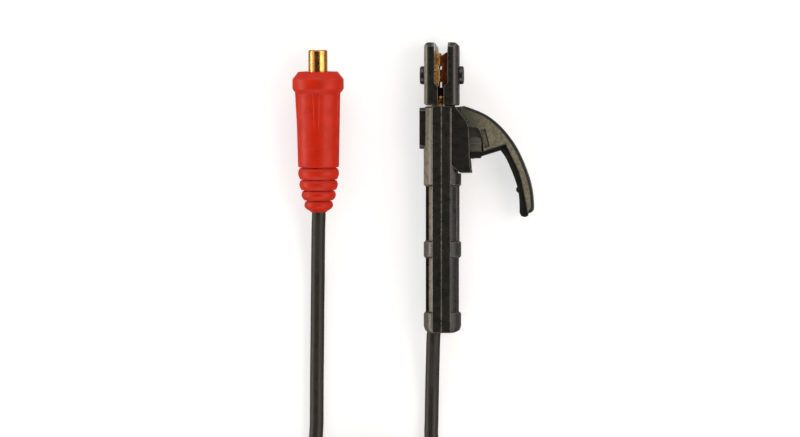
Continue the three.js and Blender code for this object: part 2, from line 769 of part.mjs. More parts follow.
// Insulators: a moulded cap over each jaw, open towards the other jaw and towards the handle.
// It is worked out on the +x side and turned to the other side by a mirror.
function insulator(side, lip) {
  const reach = INSULATOR_REACH;
  const half = INSULATOR_HALF_DEPTH;
  const round = INSULATOR_ROUND;
  const mouth = INSULATOR_MOUTH;
  const bottom = FRONT + INSULATOR_START;
  const top = FRONT + INSULATOR_END;
  const throat = FRONT + THROAT_TOP;
  const section = new THREE.Shape();
  section.moveTo(lip, -half);
  section.lineTo(reach - round, -half);
  section.absarc(reach - round, -half + round, round, -Math.PI / 2, 0, false);
  section.absarc(reach - round, half - round, round, 0, Math.PI / 2, false);
  section.lineTo(lip, half);
  const tip = INSULATOR_TIP_ROUND;
  const face = new THREE.Shape();
  face.moveTo(lip, bottom);
  face.lineTo(reach - 1, bottom);
  face.lineTo(reach, bottom + 0.6);
  face.lineTo(reach, top - tip);
  face.absarc(reach - tip, top - tip, tip, 0, Math.PI / 2, false);
  face.lineTo(mouth, top);
  face.lineTo(mouth, throat + mouth - lip);
  face.lineTo(lip, throat);
  // The back of the cap reaches further in than its front, with a curved corner.
  const backMouth = INSULATOR_BACK_MOUTH;
  const back = new THREE.Shape();
  back.moveTo(backMouth, throat);
  back.lineTo(mouth + 1, throat);
  back.lineTo(mouth + 1, top - 1);
  back.lineTo(mouth, top - 1);
  back.quadraticCurveTo(backMouth, top - 2, backMouth, top - 3 * (mouth - backMouth));
  const slope = INSULATOR_TIP_SLOPE;
  const profile = outline([
    [-half, bottom],
    [half, bottom],
    [half, top - slope],
    [half - slope, top],
    [-half + slope, top],
    [-half, top - slope],
  ]);
  const depth = reach + 2;
  const sideGeometry = new THREE.ExtrudeGeometry(profile, { depth, bevelEnabled: false });
  sideGeometry.rotateY(-Math.PI / 2);
  sideGeometry.translate(reach + 1, 0, 0);
  const jawSpace = block(
    [-reach, reach - INSULATOR_WALL],
    [bottom - 1, FRONT + JAW_TOP + JAW_TOP_RISE + CLEARANCE],
    [-JAW_HALF_DEPTH - CLEARANCE, JAW_HALF_DEPTH + CLEARANCE],
  );
  const holeRadius = JAW_SCREW_RADIUS + CLEARANCE;
  const cap = cut(
    join(
      bar(section, [bottom, top], 4)
        .intersect(plate(face, [-half - 1, half + 1], 5))
        .intersect(solid(sideGeometry)),
      plate(back, [-half, -JAW_HALF_DEPTH - CLEARANCE], 5),
    ),
    jawSpace,
    rodX(holeRadius, [0, reach + 1], FRONT + JAW_SCREW_CENTRE, 0),
  );
  const geometry = geometryOf(cap);
  geometry.scale(side, 1, 1);
  geometry.translate(HEAD_X, 0, 0);
  return solid(geometry);
}

// Lever

function curveTo(shape, corners) {
  shape.splineThru(corners.map((corner) => new THREE.Vector2(...behindFront(corner))));
}

function lineTo(shape, ...corners) {
  corners.map(behindFront).forEach(([x, y]) => shape.lineTo(x, y));
}

// The outer edge and the tip from root to tip, the given inner edge back, and the root.
function leverOutline(tip, inner, foot) {
  const shape = new THREE.Shape();
  shape.moveTo(...behindFront(LEVER_OUTER[0]));
  curveTo(shape, LEVER_OUTER.slice(1));
  lineTo(shape, ...tip);
  curveTo(shape, inner);
  lineTo(shape, foot, [foot[0] - 2, LEVER_FOOT_SETBACK]);
  lineTo(shape, [LEVER_LEFT - LEVER_HEEL_RELIEF, LEVER_FOOT_SETBACK]);
  lineTo(shape, [LEVER_LEFT, LEVER_HEEL_SETBACK], [LEVER_LEFT, LEVER_TOP_SETBACK]);
  return shape;
}

function lever() {
  const wide = [-LEVER_HALF_WIDTH, LEVER_HALF_WIDTH];
  const past = 1;
  const sunk = (corners, depth) => {
    const shape = outline(corners.map(behindFront));
    const high = LEVER_HALF_WIDTH - depth;
    return [
      plate(shape, [high, LEVER_HALF_WIDTH + past]),
      plate(shape, [-LEVER_HALF_WIDTH - past, -high]),
    ];
  };
  const rib = leverOutline(LEVER_RIB_TIP, LEVER_INNER, LEVER_WEB_CORNER);
  const flange = leverOutline(LEVER_FLANGE_TIP, FLANGE_INNER, FLANGE_FOOT);
  const [bossX, bossY] = behindFront(LEVER_BOSS_PLACE);
  const bossWide = [-LEVER_BOSS_HALF_WIDTH, LEVER_BOSS_HALF_WIDTH];
  const body = cut(
    join(
      plate(rib, [-LEVER_RIB_HALF_WIDTH, LEVER_RIB_HALF_WIDTH]),
      plate(flange, wide),
      rodZ(LEVER_BOSS_RADIUS, bossWide, bossX, bossY, 16),
    ),
    ...sunk(POCKET_CORNERS, LEVER_POCKET_DEPTH),
    ...sunk(WINDOW_CORNERS, LEVER_WINDOW_DEPTH),
  );
  const barrel = rodX(SPRING_BARREL_RADIUS, [LEVER_LEFT, SPRING_BARREL_END], SPRING_Y, 0);
  const tailSpace = block(
    [0, TAIL_END + CLEARANCE],
    [PIVOT_Y - TAIL_HALF_HEIGHT, PIVOT_Y + TAIL_HALF_HEIGHT],
    [-TAIL_HALF_THICKNESS - CLEARANCE, TAIL_HALF_THICKNESS + CLEARANCE],
  );
  const springBore = rodX(
    SPRING_RADIUS + SPRING_WIRE_RADIUS + 2 * CLEARANCE,
    [0, SPRING_POCKET_END],
    SPRING_Y,
    0,
  );
  return cut(join(body, barrel), tailSpace, springBore, leverPinHole());
}

function leverPinHole() {
  const past = LEVER_HALF_WIDTH + 1;
  return rodZ(LEVER_PIN_RADIUS + CLEARANCE, [-past, past], LEVER_PIN_X, LEVER_PIN_Y, 20);
}

function leverPin() {
  const half = LEVER_HALF_WIDTH - CLEARANCE;
  return rodZ(LEVER_PIN_RADIUS, [-half, half], LEVER_PIN_X, LEVER_PIN_Y, 20);
}

// Spring and coil: rings of points joined one to the next, closed by a flat end on each side.
function ringTube(centres, radius, sides) {
  const positions = [];
  const index = [];
  const last = centres.length - 1;
  centres.forEach((centre, i) => {
    const ahead = centres[Math.min(i + 1, last)];
    const behind = centres[Math.max(i - 1, 0)];
    const along = ahead.clone().sub(behind).normalize();
    const side = along.clone().cross(new THREE.Vector3(0, 0, 1)).normalize();
    const up = side.clone().cross(along);
    for (let k = 0; k < sides; k += 1) {
      const angle = (2 * Math.PI * k) / sides - Math.PI / 2;
      const point = centre.clone();
      point.addScaledVector(side, radius * Math.cos(angle));
      point.addScaledVector(up, radius * Math.sin(angle));
      positions.push(point.x, point.y, point.z);
    }
  });
  for (let i = 0; i < last; i += 1) {
    for (let k = 0; k < sides; k += 1) {
      const a = i * sides + k;
      const b = i * sides + ((k + 1) % sides);
      index.push(a, a + sides, b, b, a + sides, b + sides);
    }
  }
  const end = last * sides;
  for (let k = 1; k + 1 < sides; k += 1) {
    index.push(0, k, k + 1);
    index.push(end, end + k + 1, end + k);
  }
  const geometry = new THREE.BufferGeometry();
  geometry.setAttribute("position", new THREE.Float32BufferAttribute(positions, 3));
  geometry.setIndex(index);
  return geometry;
}

// The least distance between the surfaces of stretches that lie more than half a loop apart.
function leastGap(centres, thickness, stepsPerLoop) {
  let least = Infinity;
  centres.forEach((centre, i) => {
    for (let j = i + Math.round(stepsPerLoop / 2); j < centres.length; j += 1) {
      least = Math.min(least, centre.distanceTo(centres[j]) - thickness);
    }
  });
  return least;
}

// A helix along x from the seat in the core to the end of the lever's pocket. Its ends run
// straight along the wire for one wire diameter.
function springCentres(stepsPerCurl) {
  const start = CORE_FLAT_X - SPRING_SEAT_DEPTH + CLEARANCE + SPRING_WIRE_RADIUS;
  const end = SPRING_POCKET_END - CLEARANCE - SPRING_WIRE_RADIUS;
  const steps = SPRING_CURLS * stepsPerCurl;
  const centres = [];
  for (let i = 0; i <= steps; i += 1) {
    const angle = (2 * Math.PI * i) / stepsPerCurl;
    centres.push(
      new THREE.Vector3(
        start + ((end - start) * i) / steps,
        SPRING_Y + SPRING_RADIUS * Math.cos(angle),
        SPRING_RADIUS * Math.sin(angle),
      ),
    );
  }
  return centres;
}

// Coil: loops that spiral in on the table, climb one layer where the spiral turns back, and
// spiral out again on top of the first layer.
function coilPoint(turn) {
  const fromMiddle = turn - COIL_TURNS / 2;
  const climb = THREE.MathUtils.clamp(2 * fromMiddle + 0.5, 0, 1);
  const radius = COIL_INNER_RADIUS + COIL_PITCH * Math.abs(fromMiddle);
  const angle = -2 * Math.PI * turn;
  return new THREE.Vector3(
    COIL_X + radius * Math.cos(angle),
    COIL_Y + radius * Math.sin(angle),
    CABLE_RADIUS + COIL_PITCH * THREE.MathUtils.smoothstep(climb, 0, 1),
  );
}

function coilCentres(stepsPerLoop) {
  const steps = Math.round(COIL_TURNS * stepsPerLoop);
  const centres = [];
  for (let i = 0; i <= steps; i += 1) centres.push(coilPoint((COIL_TURNS * i) / steps));
  const straight = new THREE.Vector3(0, CABLE_DIAMETER, 0);
  centres.unshift(centres[0].clone().add(straight));
  centres.push(centres[centres.length - 1].clone().add(straight));
  return centres;
}

// A free stretch of the cable through its points.
function cableStretch(points, steps) {
  const curve = new THREE.CatmullRomCurve3(
    points.map((point) => new THREE.Vector3(...point)),
    false,
    "centripetal",
  );
  const section = new THREE.Shape();
  for (let k = 0; k < 12; k += 1) {
    const angle = (2 * Math.PI * k) / 12;
    const [x, y] = [CABLE_RADIUS * Math.cos(angle), CABLE_RADIUS * Math.sin(angle)];
    if (k === 0) section.moveTo(x, y);
    else section.lineTo(x, y);
  }
  return new THREE.ExtrudeGeometry(section, { steps, extrudePath: curve, bevelEnabled: false });
}

// Plug, standing along y from the tail of its sleeve

// Ribs of the strain relief from the tail to the front: round cups with a groove before each.
function reliefRibs() {
  const profile = [];
  for (let i = RELIEF_RIBS - 1; i >= 0; i -= 1) {
    const crest = FIRST_RIB_RADIUS - RELIEF_RIB_TAPER * i - RELIEF_RIB_CURVE * i * i;
    const place = FIRST_RIB_PLACE - RELIEF_RIB_SPACING * i;
    RELIEF_RIB_SECTION.forEach(([drop, ahead]) => profile.push([crest - drop, place + ahead]));
  }
  return profile;
}

// Where the sleeve's body ends, and its radius at a place along it.
const BODY_FRONT = PLUG_COLLAR_REAR - PLUG_COLLAR_RISE;

function bodyRadius(along) {
  const share = (along - SLEEVE_BODY_REAR) / (BODY_FRONT - SLEEVE_BODY_REAR);
  return SLEEVE_BODY_REAR_RADIUS + share * (SLEEVE_BODY_FRONT_RADIUS - SLEEVE_BODY_REAR_RADIUS);
}

function plugSleeve() {
  const collar = PLUG_COLLAR_RADIUS;
  const cableHole = CABLE_RADIUS + CLEARANCE;
  const shell = turned([
    [cableHole, 0],
    [cableHole + SLEEVE_TAIL_WALL / 2, 0],
    [cableHole + SLEEVE_TAIL_WALL, SLEEVE_TAIL_WALL],
    ...reliefRibs(),
    [SLEEVE_BODY_REAR_RADIUS - 0.4, SLEEVE_BODY_REAR - 0.8],
    [SLEEVE_BODY_REAR_RADIUS, SLEEVE_BODY_REAR],
    [SLEEVE_BODY_FRONT_RADIUS, BODY_FRONT],
    [collar - 0.5, PLUG_COLLAR_REAR - 0.4 * PLUG_COLLAR_RISE],
    [collar, PLUG_COLLAR_REAR],
    [collar, PLUG_COLLAR_FRONT],
    [PLUG_FACE_RADIUS, SLEEVE_LENGTH],
    [SLEEVE_BORE_RADIUS, SLEEVE_LENGTH],
    [SLEEVE_BORE_RADIUS, SLEEVE_STEP],
    [SLEEVE_WAIST_RADIUS, SLEEVE_STEP],
    [SLEEVE_WAIST_RADIUS, SLEEVE_TAIL_BORE_LENGTH],
    [cableHole, SLEEVE_TAIL_BORE_LENGTH],
    [cableHole, 0],
  ]);
  const ribs = [];
  for (let i = 0; i < GRIP_RIBS; i += 1) ribs.push(gripRib((2 * Math.PI * i) / GRIP_RIBS));
  return join(shell, ...ribs);
}

// A ridge on the sleeve that rises from nothing at its rear end to its full height in front,
// and grows wider on the way.
function gripRib(angle) {
  const rearRadius = bodyRadius(GRIP_RIB_END);
  const frontRadius = SLEEVE_BODY_FRONT_RADIUS + GRIP_RIB_HEIGHT;
  const rearShare = 0.65;
  const root = SLEEVE_BORE_RADIUS + 1;
  const geometry = new THREE.BoxGeometry(2, PLUG_COLLAR_REAR - GRIP_RIB_END, 2);
  const place = geometry.attributes.position;
  for (let i = 0; i < place.count; i += 1) {
    const top = place.getZ(i) > 0;
    const front = place.getY(i) > 0;
    const width = (top ? GRIP_RIB_TOP_WIDTH : GRIP_RIB_WIDTH) * (front ? 1 : rearShare);
    place.setX(i, (place.getX(i) * width) / 2);
    if (!top) place.setZ(i, root);
    else place.setZ(i, front ? frontRadius : rearRadius);
  }
  geometry.translate(0, (PLUG_COLLAR_REAR + GRIP_RIB_END) / 2, 0);
  geometry.rotateY(angle);
  return solid(geometry);
}

function plugBody() {
  const flange = SLEEVE_LENGTH - PIN_FLANGE_INSET;
  const tip = SLEEVE_LENGTH + PIN_LENGTH;
  const past = 1;
  const body = turned([
    [0, CONTACT_REAR],
    [CONTACT_WAIST_RADIUS, CONTACT_REAR],
    [CONTACT_WAIST_RADIUS, SLEEVE_STEP + CLEARANCE],
    [CONTACT_RADIUS, SLEEVE_STEP + CLEARANCE],
    [CONTACT_RADIUS, flange],
    [PIN_RADIUS, flange],
    [PIN_RADIUS, tip - PIN_CHAMFER],
    [PIN_RADIUS - PIN_CHAMFER, tip],
    [0, tip],
  ]);
  const keyFront = tip - KEY_INSET;
  const key = block(
    [-KEY_HALF_WIDTH, KEY_HALF_WIDTH],
    [keyFront - KEY_LENGTH, keyFront],
    [-PIN_RADIUS - KEY_HEIGHT, 0],
  );
  const screwHoles = [0, 1].map((i) =>
    rodZ(SCREW_HOLE_RADIUS, [0, CONTACT_RADIUS], 0, plugScrewY(i), 24),
  );
  return cut(
    join(body, key),
    rodY(SOCKET_RADIUS, [CONTACT_REAR - past, CONTACT_REAR + SOCKET_DEPTH], 32),
    ...screwHoles,
  );
}

function plugScrewY(i) {
  return CONTACT_REAR + CLAMP_SCREW_INSET + i * CLAMP_SCREW_SPACING;
}

// The bared end of the cable, from the end of its jacket into a socket that starts at the
// given y, and the copper sleeve crimped round it.
function conductor(jacketEnd, socketStart) {
  return rodY(CONDUCTOR_RADIUS, [jacketEnd + CLEARANCE, socketStart + CONDUCTOR_LENGTH], 24);
}

function ferrule(socketStart) {
  const span = [socketStart + FERRULE_INSET, socketStart + CONDUCTOR_LENGTH];
  return turned(
    [
      [FERRULE_INNER, span[0]],
      [FERRULE_RADIUS, span[0]],
      [FERRULE_RADIUS, span[1]],
      [FERRULE_INNER, span[1]],
      [FERRULE_INNER, span[0]],
    ],
    24,
  );
}

function jacketEnd(points) {
  return cableStretch(points, 2 * points.length);
}

// A point on the plug's axis, in the whole lead's axes.
function onPlugAxis(along) {
  return [
    PLUG_X,
    PLUG_TAIL_Y + along * Math.cos(PLUG_TILT),
    PLUG_TAIL_HEIGHT + along * Math.sin(PLUG_TILT),
  ];
}

// Routes of the cable: from the core to the handle's mouth, on to the coil, and on to the plug.
const MOUTH_POINT = [-4.2, 10.3];
// Inside the handle: x, and the share of the way from the core to the mouth.
const IN_HANDLE_POINTS = [
  [0, 0],
  [0, 0.232],
  [-0.8, 0.503],
  [-2.2, 0.735],
  [-3.3, 0.909],
  [MOUTH_POINT[0], 1],
].map(([x, share]) => [x, THREE.MathUtils.lerp(JACKET_END, MOUTH_POINT[1], share), 0]);
const HOLDER_LEAD_POINTS = [
  [MOUTH_POINT[0] - 0.05, MOUTH_POINT[1] - CLEARANCE, AXIS_HEIGHT],
  [-5.1, 5, AXIS_HEIGHT],
  [-5.95, 0, 13.25],
  [-6.35, -7, 12.8],
  [-6.67, -16, 11.3],
  [-7.05, -25, 8.9],
  [-7.4, -34, 6.5],
  [-7.65, -43, 5.1],
  [-7.85, -52, CABLE_RADIUS],
  [-8, -62, CABLE_RADIUS],
  [-8.15, -71, CABLE_RADIUS],
  [-4.4, -89, CABLE_RADIUS],
  [9.15, -106.5, CABLE_RADIUS],
  [22, -124, CABLE_RADIUS],
  [COIL_RIGHT, -140, CABLE_RADIUS],
  [COIL_RIGHT, COIL_Y + CABLE_DIAMETER + CLEARANCE, CABLE_RADIUS],
];
const PLUG_LEAD_POINTS = [
  [COIL_LEFT, COIL_Y + CABLE_DIAMETER + CLEARANCE, CABLE_RADIUS + COIL_PITCH],
  [COIL_LEFT, -140, 14.4],
  [-118, -124, 11.4],
  [-107, -109, 7.2],
  [-96, -95, CABLE_RADIUS],
  [-88.6, -80, CABLE_RADIUS],
  [-87, -66, CABLE_RADIUS],
  [-86.8, -52, CABLE_RADIUS],
  [-86.7, -32, CABLE_RADIUS],
  [-86.4, -5, CABLE_RADIUS],
  [-86.2, 22, CABLE_RADIUS],
  [-86, 34, 4.95],
  [-85.85, 44, 5.9],
  [-85.6, 54, 7.7],
  [-85.3, 64, 9.7],
  [-85, 74, 11.3],
  onPlugAxis(-1),
  onPlugAxis(PLUG_JACKET_INSET),
];

function node(name, shape, material) {
  const geometry = shape.isBufferGeometry ? shape : geometryOf(shape);
  const mesh = new THREE.Mesh(geometry, new THREE.MeshStandardMaterial(material));
  mesh.name = name;
  return mesh;
}

const holder = new THREE.Group();
holder.position.z = AXIS_HEIGHT;
holder.add(
  node("handle", handle(), BLACK_MOULDING),
  node("handle_screw", handleScrew(), STEEL),
  node("fixed_jaw", fixedJaw(), BRASS),
  node("moving_jaw", movingJaw(), BRONZE),
  node("fixed_jaw_insulator", insulator(-1, FIXED_LIP), BLACK_MOULDING),
  node("moving_jaw_insulator", insulator(1, MOVING_LIP), BLACK_MOULDING),
  node("fixed_jaw_screw", jawScrew(-1), BLACK_MOULDING),
  node("moving_jaw_screw", jawScrew(1), BLACK_MOULDING),
  node("lever", lever(), BLACK_MOULDING),
  node("lever_pin", leverPin(), STEEL),
  node("pivot_pin", pivotPin(), STEEL),
  node("lever_spring", ringTube(springCentres(8), SPRING_WIRE_RADIUS, 5), STEEL),
  node("holder_ferrule", ferrule(CORE_REAR), COPPER),
  node("holder_conductor", conductor(JACKET_END, CORE_REAR), COPPER),
  node("cable_in_handle", jacketEnd(IN_HANDLE_POINTS), CABLE_RUBBER),
);

const plug = new THREE.Group();
plug.position.set(PLUG_X, PLUG_TAIL_Y, PLUG_TAIL_HEIGHT);
plug.rotation.x = PLUG_TILT;
plug.add(
  node("plug_sleeve", plugSleeve(), RED_RUBBER),
  node("plug_body", plugBody(), BRASS),
  node("plug_ferrule", ferrule(CONTACT_REAR), COPPER),
  node("plug_conductor", conductor(PLUG_JACKET_END, CONTACT_REAR), COPPER),
);

const plugJacket = [
  [0, PLUG_JACKET_INSET + CLEARANCE, 0],
  [0, PLUG_JACKET_END, 0],
];
plug.add(node("cable_in_plug", jacketEnd(plugJacket), CABLE_RUBBER));

const screwPoint = FERRULE_RADIUS + CLEARANCE;
for (let i = 0; i < 2; i += 1) {
  const inHolder = clampScrew(clampScrewY(i), screwPoint, CORE_RADIUS - SCREW_SINK);
  const inPlug = clampScrew(plugScrewY(i), screwPoint, CONTACT_WAIST_RADIUS - SCREW_SINK);
  holder.add(node(`holder_clamp_screw_${i + 1}`, inHolder, STEEL));
  plug.add(node(`plug_clamp_screw_${i + 1}`, inPlug, STEEL));
}

const LOOP_STEPS = 24;
console.log(
  "least gap of the coil to itself",
  leastGap(coilCentres(4 * LOOP_STEPS), CABLE_DIAMETER, 4 * LOOP_STEPS).toFixed(2),
);
console.log(
  "least gap of the spring to itself",
  leastGap(springCentres(32), 2 * SPRING_WIRE_RADIUS, 32).toFixed(2),
);

const lead = new THREE.Group();
lead.position.y = -HANDLE_LENGTH / 2;
lead.add(
  holder,
  node("cable_holder_lead", cableStretch(HOLDER_LEAD_POINTS, 20), CABLE_RUBBER),
  node("cable_coil", ringTube(coilCentres(LOOP_STEPS), CABLE_RADIUS, 6), CABLE_RUBBER),
  node("cable_plug_lead", cableStretch(PLUG_LEAD_POINTS, 30), CABLE_RUBBER),
  plug,
);

const electrodeLead = new THREE.Group();
electrodeLead.add(lead);
export default electrodeLead;
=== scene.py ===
# %% [markdown]
# # The lead of an arc welder
#
# The object is the lead that carries the welding current: a black electrode holder with a squeeze
# lever, a rubber cable, and the red plug that turns into the machine's socket. This file dresses a
# packed mechanical model of it: the model gives every place and size, and Blender the surfaces.

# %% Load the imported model
import math

import bmesh
import bpy
import numpy as np
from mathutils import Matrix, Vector


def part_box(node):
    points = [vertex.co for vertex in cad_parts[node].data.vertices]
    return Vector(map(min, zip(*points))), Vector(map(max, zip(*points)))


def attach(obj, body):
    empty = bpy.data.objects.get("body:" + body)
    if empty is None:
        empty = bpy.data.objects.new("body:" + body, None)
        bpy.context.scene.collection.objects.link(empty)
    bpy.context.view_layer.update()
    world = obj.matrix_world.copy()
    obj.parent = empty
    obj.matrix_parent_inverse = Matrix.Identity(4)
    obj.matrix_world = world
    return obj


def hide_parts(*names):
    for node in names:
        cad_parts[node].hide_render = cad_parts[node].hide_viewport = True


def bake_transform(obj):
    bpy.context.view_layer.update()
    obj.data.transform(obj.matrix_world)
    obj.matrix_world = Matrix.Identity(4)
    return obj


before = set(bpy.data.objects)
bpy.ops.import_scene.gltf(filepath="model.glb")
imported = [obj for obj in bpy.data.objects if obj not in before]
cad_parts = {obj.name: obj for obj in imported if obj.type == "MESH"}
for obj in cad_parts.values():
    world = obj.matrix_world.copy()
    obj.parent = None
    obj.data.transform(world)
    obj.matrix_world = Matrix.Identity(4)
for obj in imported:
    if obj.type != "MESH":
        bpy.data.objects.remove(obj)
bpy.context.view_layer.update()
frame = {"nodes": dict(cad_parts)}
NODES = frame["nodes"]
HOLDER = "holder_and_cable"
JAW = "lever_and_jaw"
MM = 0.001

# %% [markdown]
# ## Camera
#
# The photograph was taken from straight above with a long lens, a little to the right of the holder:
# the seam on the handle stands left of the middle of its outline. The plug's pin is 13 mm across
# and 19 pixels wide, which gives the size of a pixel and so the lens.

# %% Camera
IMAGE_WIDTH = 800
PIXEL = 0.682 * MM
SENSOR = 36.0
CAMERA_DISTANCE = 2.5
CAMERA_LEAN = math.radians(4.0)
VIEW_CENTRE = Vector((-0.0290, 0.0007, 0.0133))


def in_scene(name, data):
    """A new object in the scene that carries a mesh, a camera or a lamp."""
    thing = bpy.data.objects.new(name, data)
    bpy.context.scene.collection.objects.link(thing)
    return thing


lens = bpy.data.cameras.new("long_lens")
lens.sensor_width = SENSOR
lens.lens = SENSOR * CAMERA_DISTANCE / (IMAGE_WIDTH * PIXEL)
camera = in_scene("camera", lens)
towards_camera = Vector((math.sin(CAMERA_LEAN), 0, math.cos(CAMERA_LEAN)))
camera.location = VIEW_CENTRE + CAMERA_DISTANCE * towards_camera
camera.rotation_euler = (0, CAMERA_LEAN, 0)
bpy.context.scene.camera = camera
print("lens", round(lens.lens, 1), "mm")

# %% [markdown]
# ## Surfaces from arrays
#
# Most new pieces are a grid of points: rows run along the piece and columns run round it. A grid
# becomes a mesh of four-sided faces, which is easy to light and cheap to make.


# %% A grid of points becomes a piece
def piece_from_grid(name, points, ring=False, flip=False, sharp=35):
    """A mesh whose vertices are points[row, column], closed round the columns.

    ring joins the last row to the first. Otherwise each end row is filled by one cap. Face (i, j)
    has the corners (i, j), (i, j + 1), (i + 1, j + 1) and (i + 1, j), or with flip their reverse.
    """
    rows, columns = points.shape[:2]
    i, j = np.meshgrid(np.arange(rows if ring else rows - 1), np.arange(columns), indexing="ij")
    ahead, beside = (i + 1) % rows, (j + 1) % columns
    corners = [i * columns + j, i * columns + beside, ahead * columns + beside, ahead * columns + j]
    order = -1 if flip else 1
    faces = np.stack(corners, axis=-1).reshape(-1, 4)[:, ::order].tolist()
    if not ring:
        caps = (range(columns)[::-1], range((rows - 1) * columns, rows * columns))
        faces += [list(cap[::order]) for cap in caps]
    mesh = bpy.data.meshes.new(name)
    mesh.from_pydata(points.reshape(-1, 3).tolist(), [], faces)
    mesh.shade_smooth()
    mesh.set_sharp_from_angle(angle=math.radians(sharp))
    mesh.update()
    return in_scene(name, mesh)


# %% Tubes
def unit(vectors):
    """Each vector divided by its own length."""
    return vectors / np.linalg.norm(vectors, axis=-1, keepdims=True)


def full_turn(count):
    """The angles of count points that stand evenly round a full turn."""
    return 2 * np.pi * np.arange(count) / count


def tube_points(path, radius, sides, reference=(0, 0, 1)):
    """A ring of points round each point of a path that never runs along the reference vector.

    side is the path's direction crossed with the reference, and rise is side crossed with the
    direction. Point k of a ring stands at radius * (cos(angle k) * side + sin(angle k) * rise).
    """
    along = unit(np.gradient(path, axis=0))
    side = unit(np.cross(along, reference))
    rise = np.cross(side, along)
    angle = full_turn(sides)[:, None]
    across = np.cos(angle) * side[:, None, :] + np.sin(angle) * rise[:, None, :]
    return path[:, None, :] + radius * across


# %% [markdown]
# ## The cable
#
# The cable is one fixed length of rubber jacket, 9.5 mm thick. Its points repeat the model's route:
# out of the handle's mouth, down to the table, round the coil that is put away below the picture, and
# back up to the plug. A smooth curve through the points carries a round tube.

# %% Points of the cable's route
HANDLE_LENGTH = 154.0
AXIS_HEIGHT = 13.3
CABLE_DIAMETER = 9.5
CABLE_RADIUS = CABLE_DIAMETER / 2
COIL_CENTRE = (-47.6, -160.0)
COIL_INNER_RADIUS = 36.0
COIL_PITCH = 10.1
COIL_TURNS = 7.5
COIL_REACH = COIL_INNER_RADIUS + COIL_PITCH * COIL_TURNS / 2
COIL_ENTRY_Y = COIL_CENTRE[1] + CABLE_DIAMETER
HOLDER_LEAD = [
    *((-4.25, 10, AXIS_HEIGHT), (-5.1, 5, AXIS_HEIGHT), (-5.95, 0, 13.25), (-6.35, -7, 12.8)),
    *((-6.67, -16, 11.3), (-7.05, -25, 8.9), (-7.4, -34, 6.5), (-7.65, -43, 5.1)),
    *((-7.85, -52, CABLE_RADIUS), (-8, -62, CABLE_RADIUS), (-8.15, -71, CABLE_RADIUS)),
    *((-4.4, -89, CABLE_RADIUS), (9.15, -106.5, CABLE_RADIUS), (22, -124, CABLE_RADIUS)),
    (COIL_CENTRE[0] + COIL_REACH, -140, CABLE_RADIUS),
    (COIL_CENTRE[0] + COIL_REACH, COIL_ENTRY_Y, CABLE_RADIUS),
]
PLUG_TAIL = (-84.7, 82.2, 12.206)
# The plug lies on its first cup and on its collar: the radius of each, and its place on the sleeve.
REST_RADIUS, REST_PLACE = (13.98, 17.5), (28.1, 84.6)
PLUG_TILT = math.atan2(REST_RADIUS[1] - REST_RADIUS[0], REST_PLACE[1] - REST_PLACE[0])


def on_plug_axis(along):
    """The point that lies along mm in front of the sleeve's tail, in mm."""
    x, y, z = PLUG_TAIL
    return (x, y + along * math.cos(PLUG_TILT), z + along * math.sin(PLUG_TILT))


PLUG_LEAD = [
    (COIL_CENTRE[0] - COIL_REACH, COIL_ENTRY_Y, CABLE_RADIUS + COIL_PITCH),
    (COIL_CENTRE[0] - COIL_REACH, -140, 14.4),
    *((-118, -124, 11.4), (-107, -109, 7.2), (-96, -95, CABLE_RADIUS), (-88.6, -80, CABLE_RADIUS)),
    *((-87, -66, CABLE_RADIUS), (-86.8, -52, CABLE_RADIUS), (-86.7, -32, CABLE_RADIUS)),
    *((-86.4, -5, CABLE_RADIUS), (-86.2, 22, CABLE_RADIUS), (-86, 34, 4.95), (-85.85, 44, 5.9)),
    *((-85.6, 54, 7.7), (-85.3, 64, 9.7), (-85, 74, 11.3)),
    on_plug_axis(-1),
    on_plug_axis(8),
]


# %% A smooth curve through the points
def smooth_through(points, step, cuts=24):
    """A cubic curve through the points, with points about step apart.

    Between two neighbours it is a Hermite cubic, worked out at cuts places. The slope at a point
    is the mean of its two chords' slopes, each weighted by the square root of the other's length,
    as in a centripetal Catmull-Rom curve.
    """
    p = np.asarray(points, float)
    span = np.sqrt(np.linalg.norm(np.diff(p, axis=0), axis=1))[:, None]
    slope = np.diff(p, axis=0) / span
    inner = (slope[:-1] * span[1:] + slope[1:] * span[:-1]) / (span[:-1] + span[1:])
    slopes = np.vstack([slope[:1], inner, slope[-1:]])
    t = np.linspace(0, 1, cuts, endpoint=False)[:, None, None]
    curve = (
        (2 * t**3 - 3 * t**2 + 1) * p[:-1]
        + (t**3 - 2 * t**2 + t) * slopes[:-1] * span
        + (3 * t**2 - 2 * t**3) * p[1:]
        + (t**3 - t**2) * slopes[1:] * span
    )
    return evenly_spaced(np.vstack([curve.transpose(1, 0, 2).reshape(-1, 3), p[-1:]]), step)


def evenly_spaced(curve, step):
    """The same curve with points at equal distances, by linear interpolation along its length."""
    travelled = np.concatenate([[0], np.cumsum(np.linalg.norm(np.diff(curve, axis=0), axis=1))])
    at = np.linspace(0, travelled[-1], max(2, int(travelled[-1] / step) + 1))
    return np.stack([np.interp(at, travelled, curve[:, axis]) for axis in range(3)], axis=1)


def smooth_step(share):
    """The share held between 0 and 1 and eased at both ends: 3 * share ** 2 - 2 * share ** 3."""
    share = np.clip(share, 0, 1)
    return share * share * (3 - 2 * share)


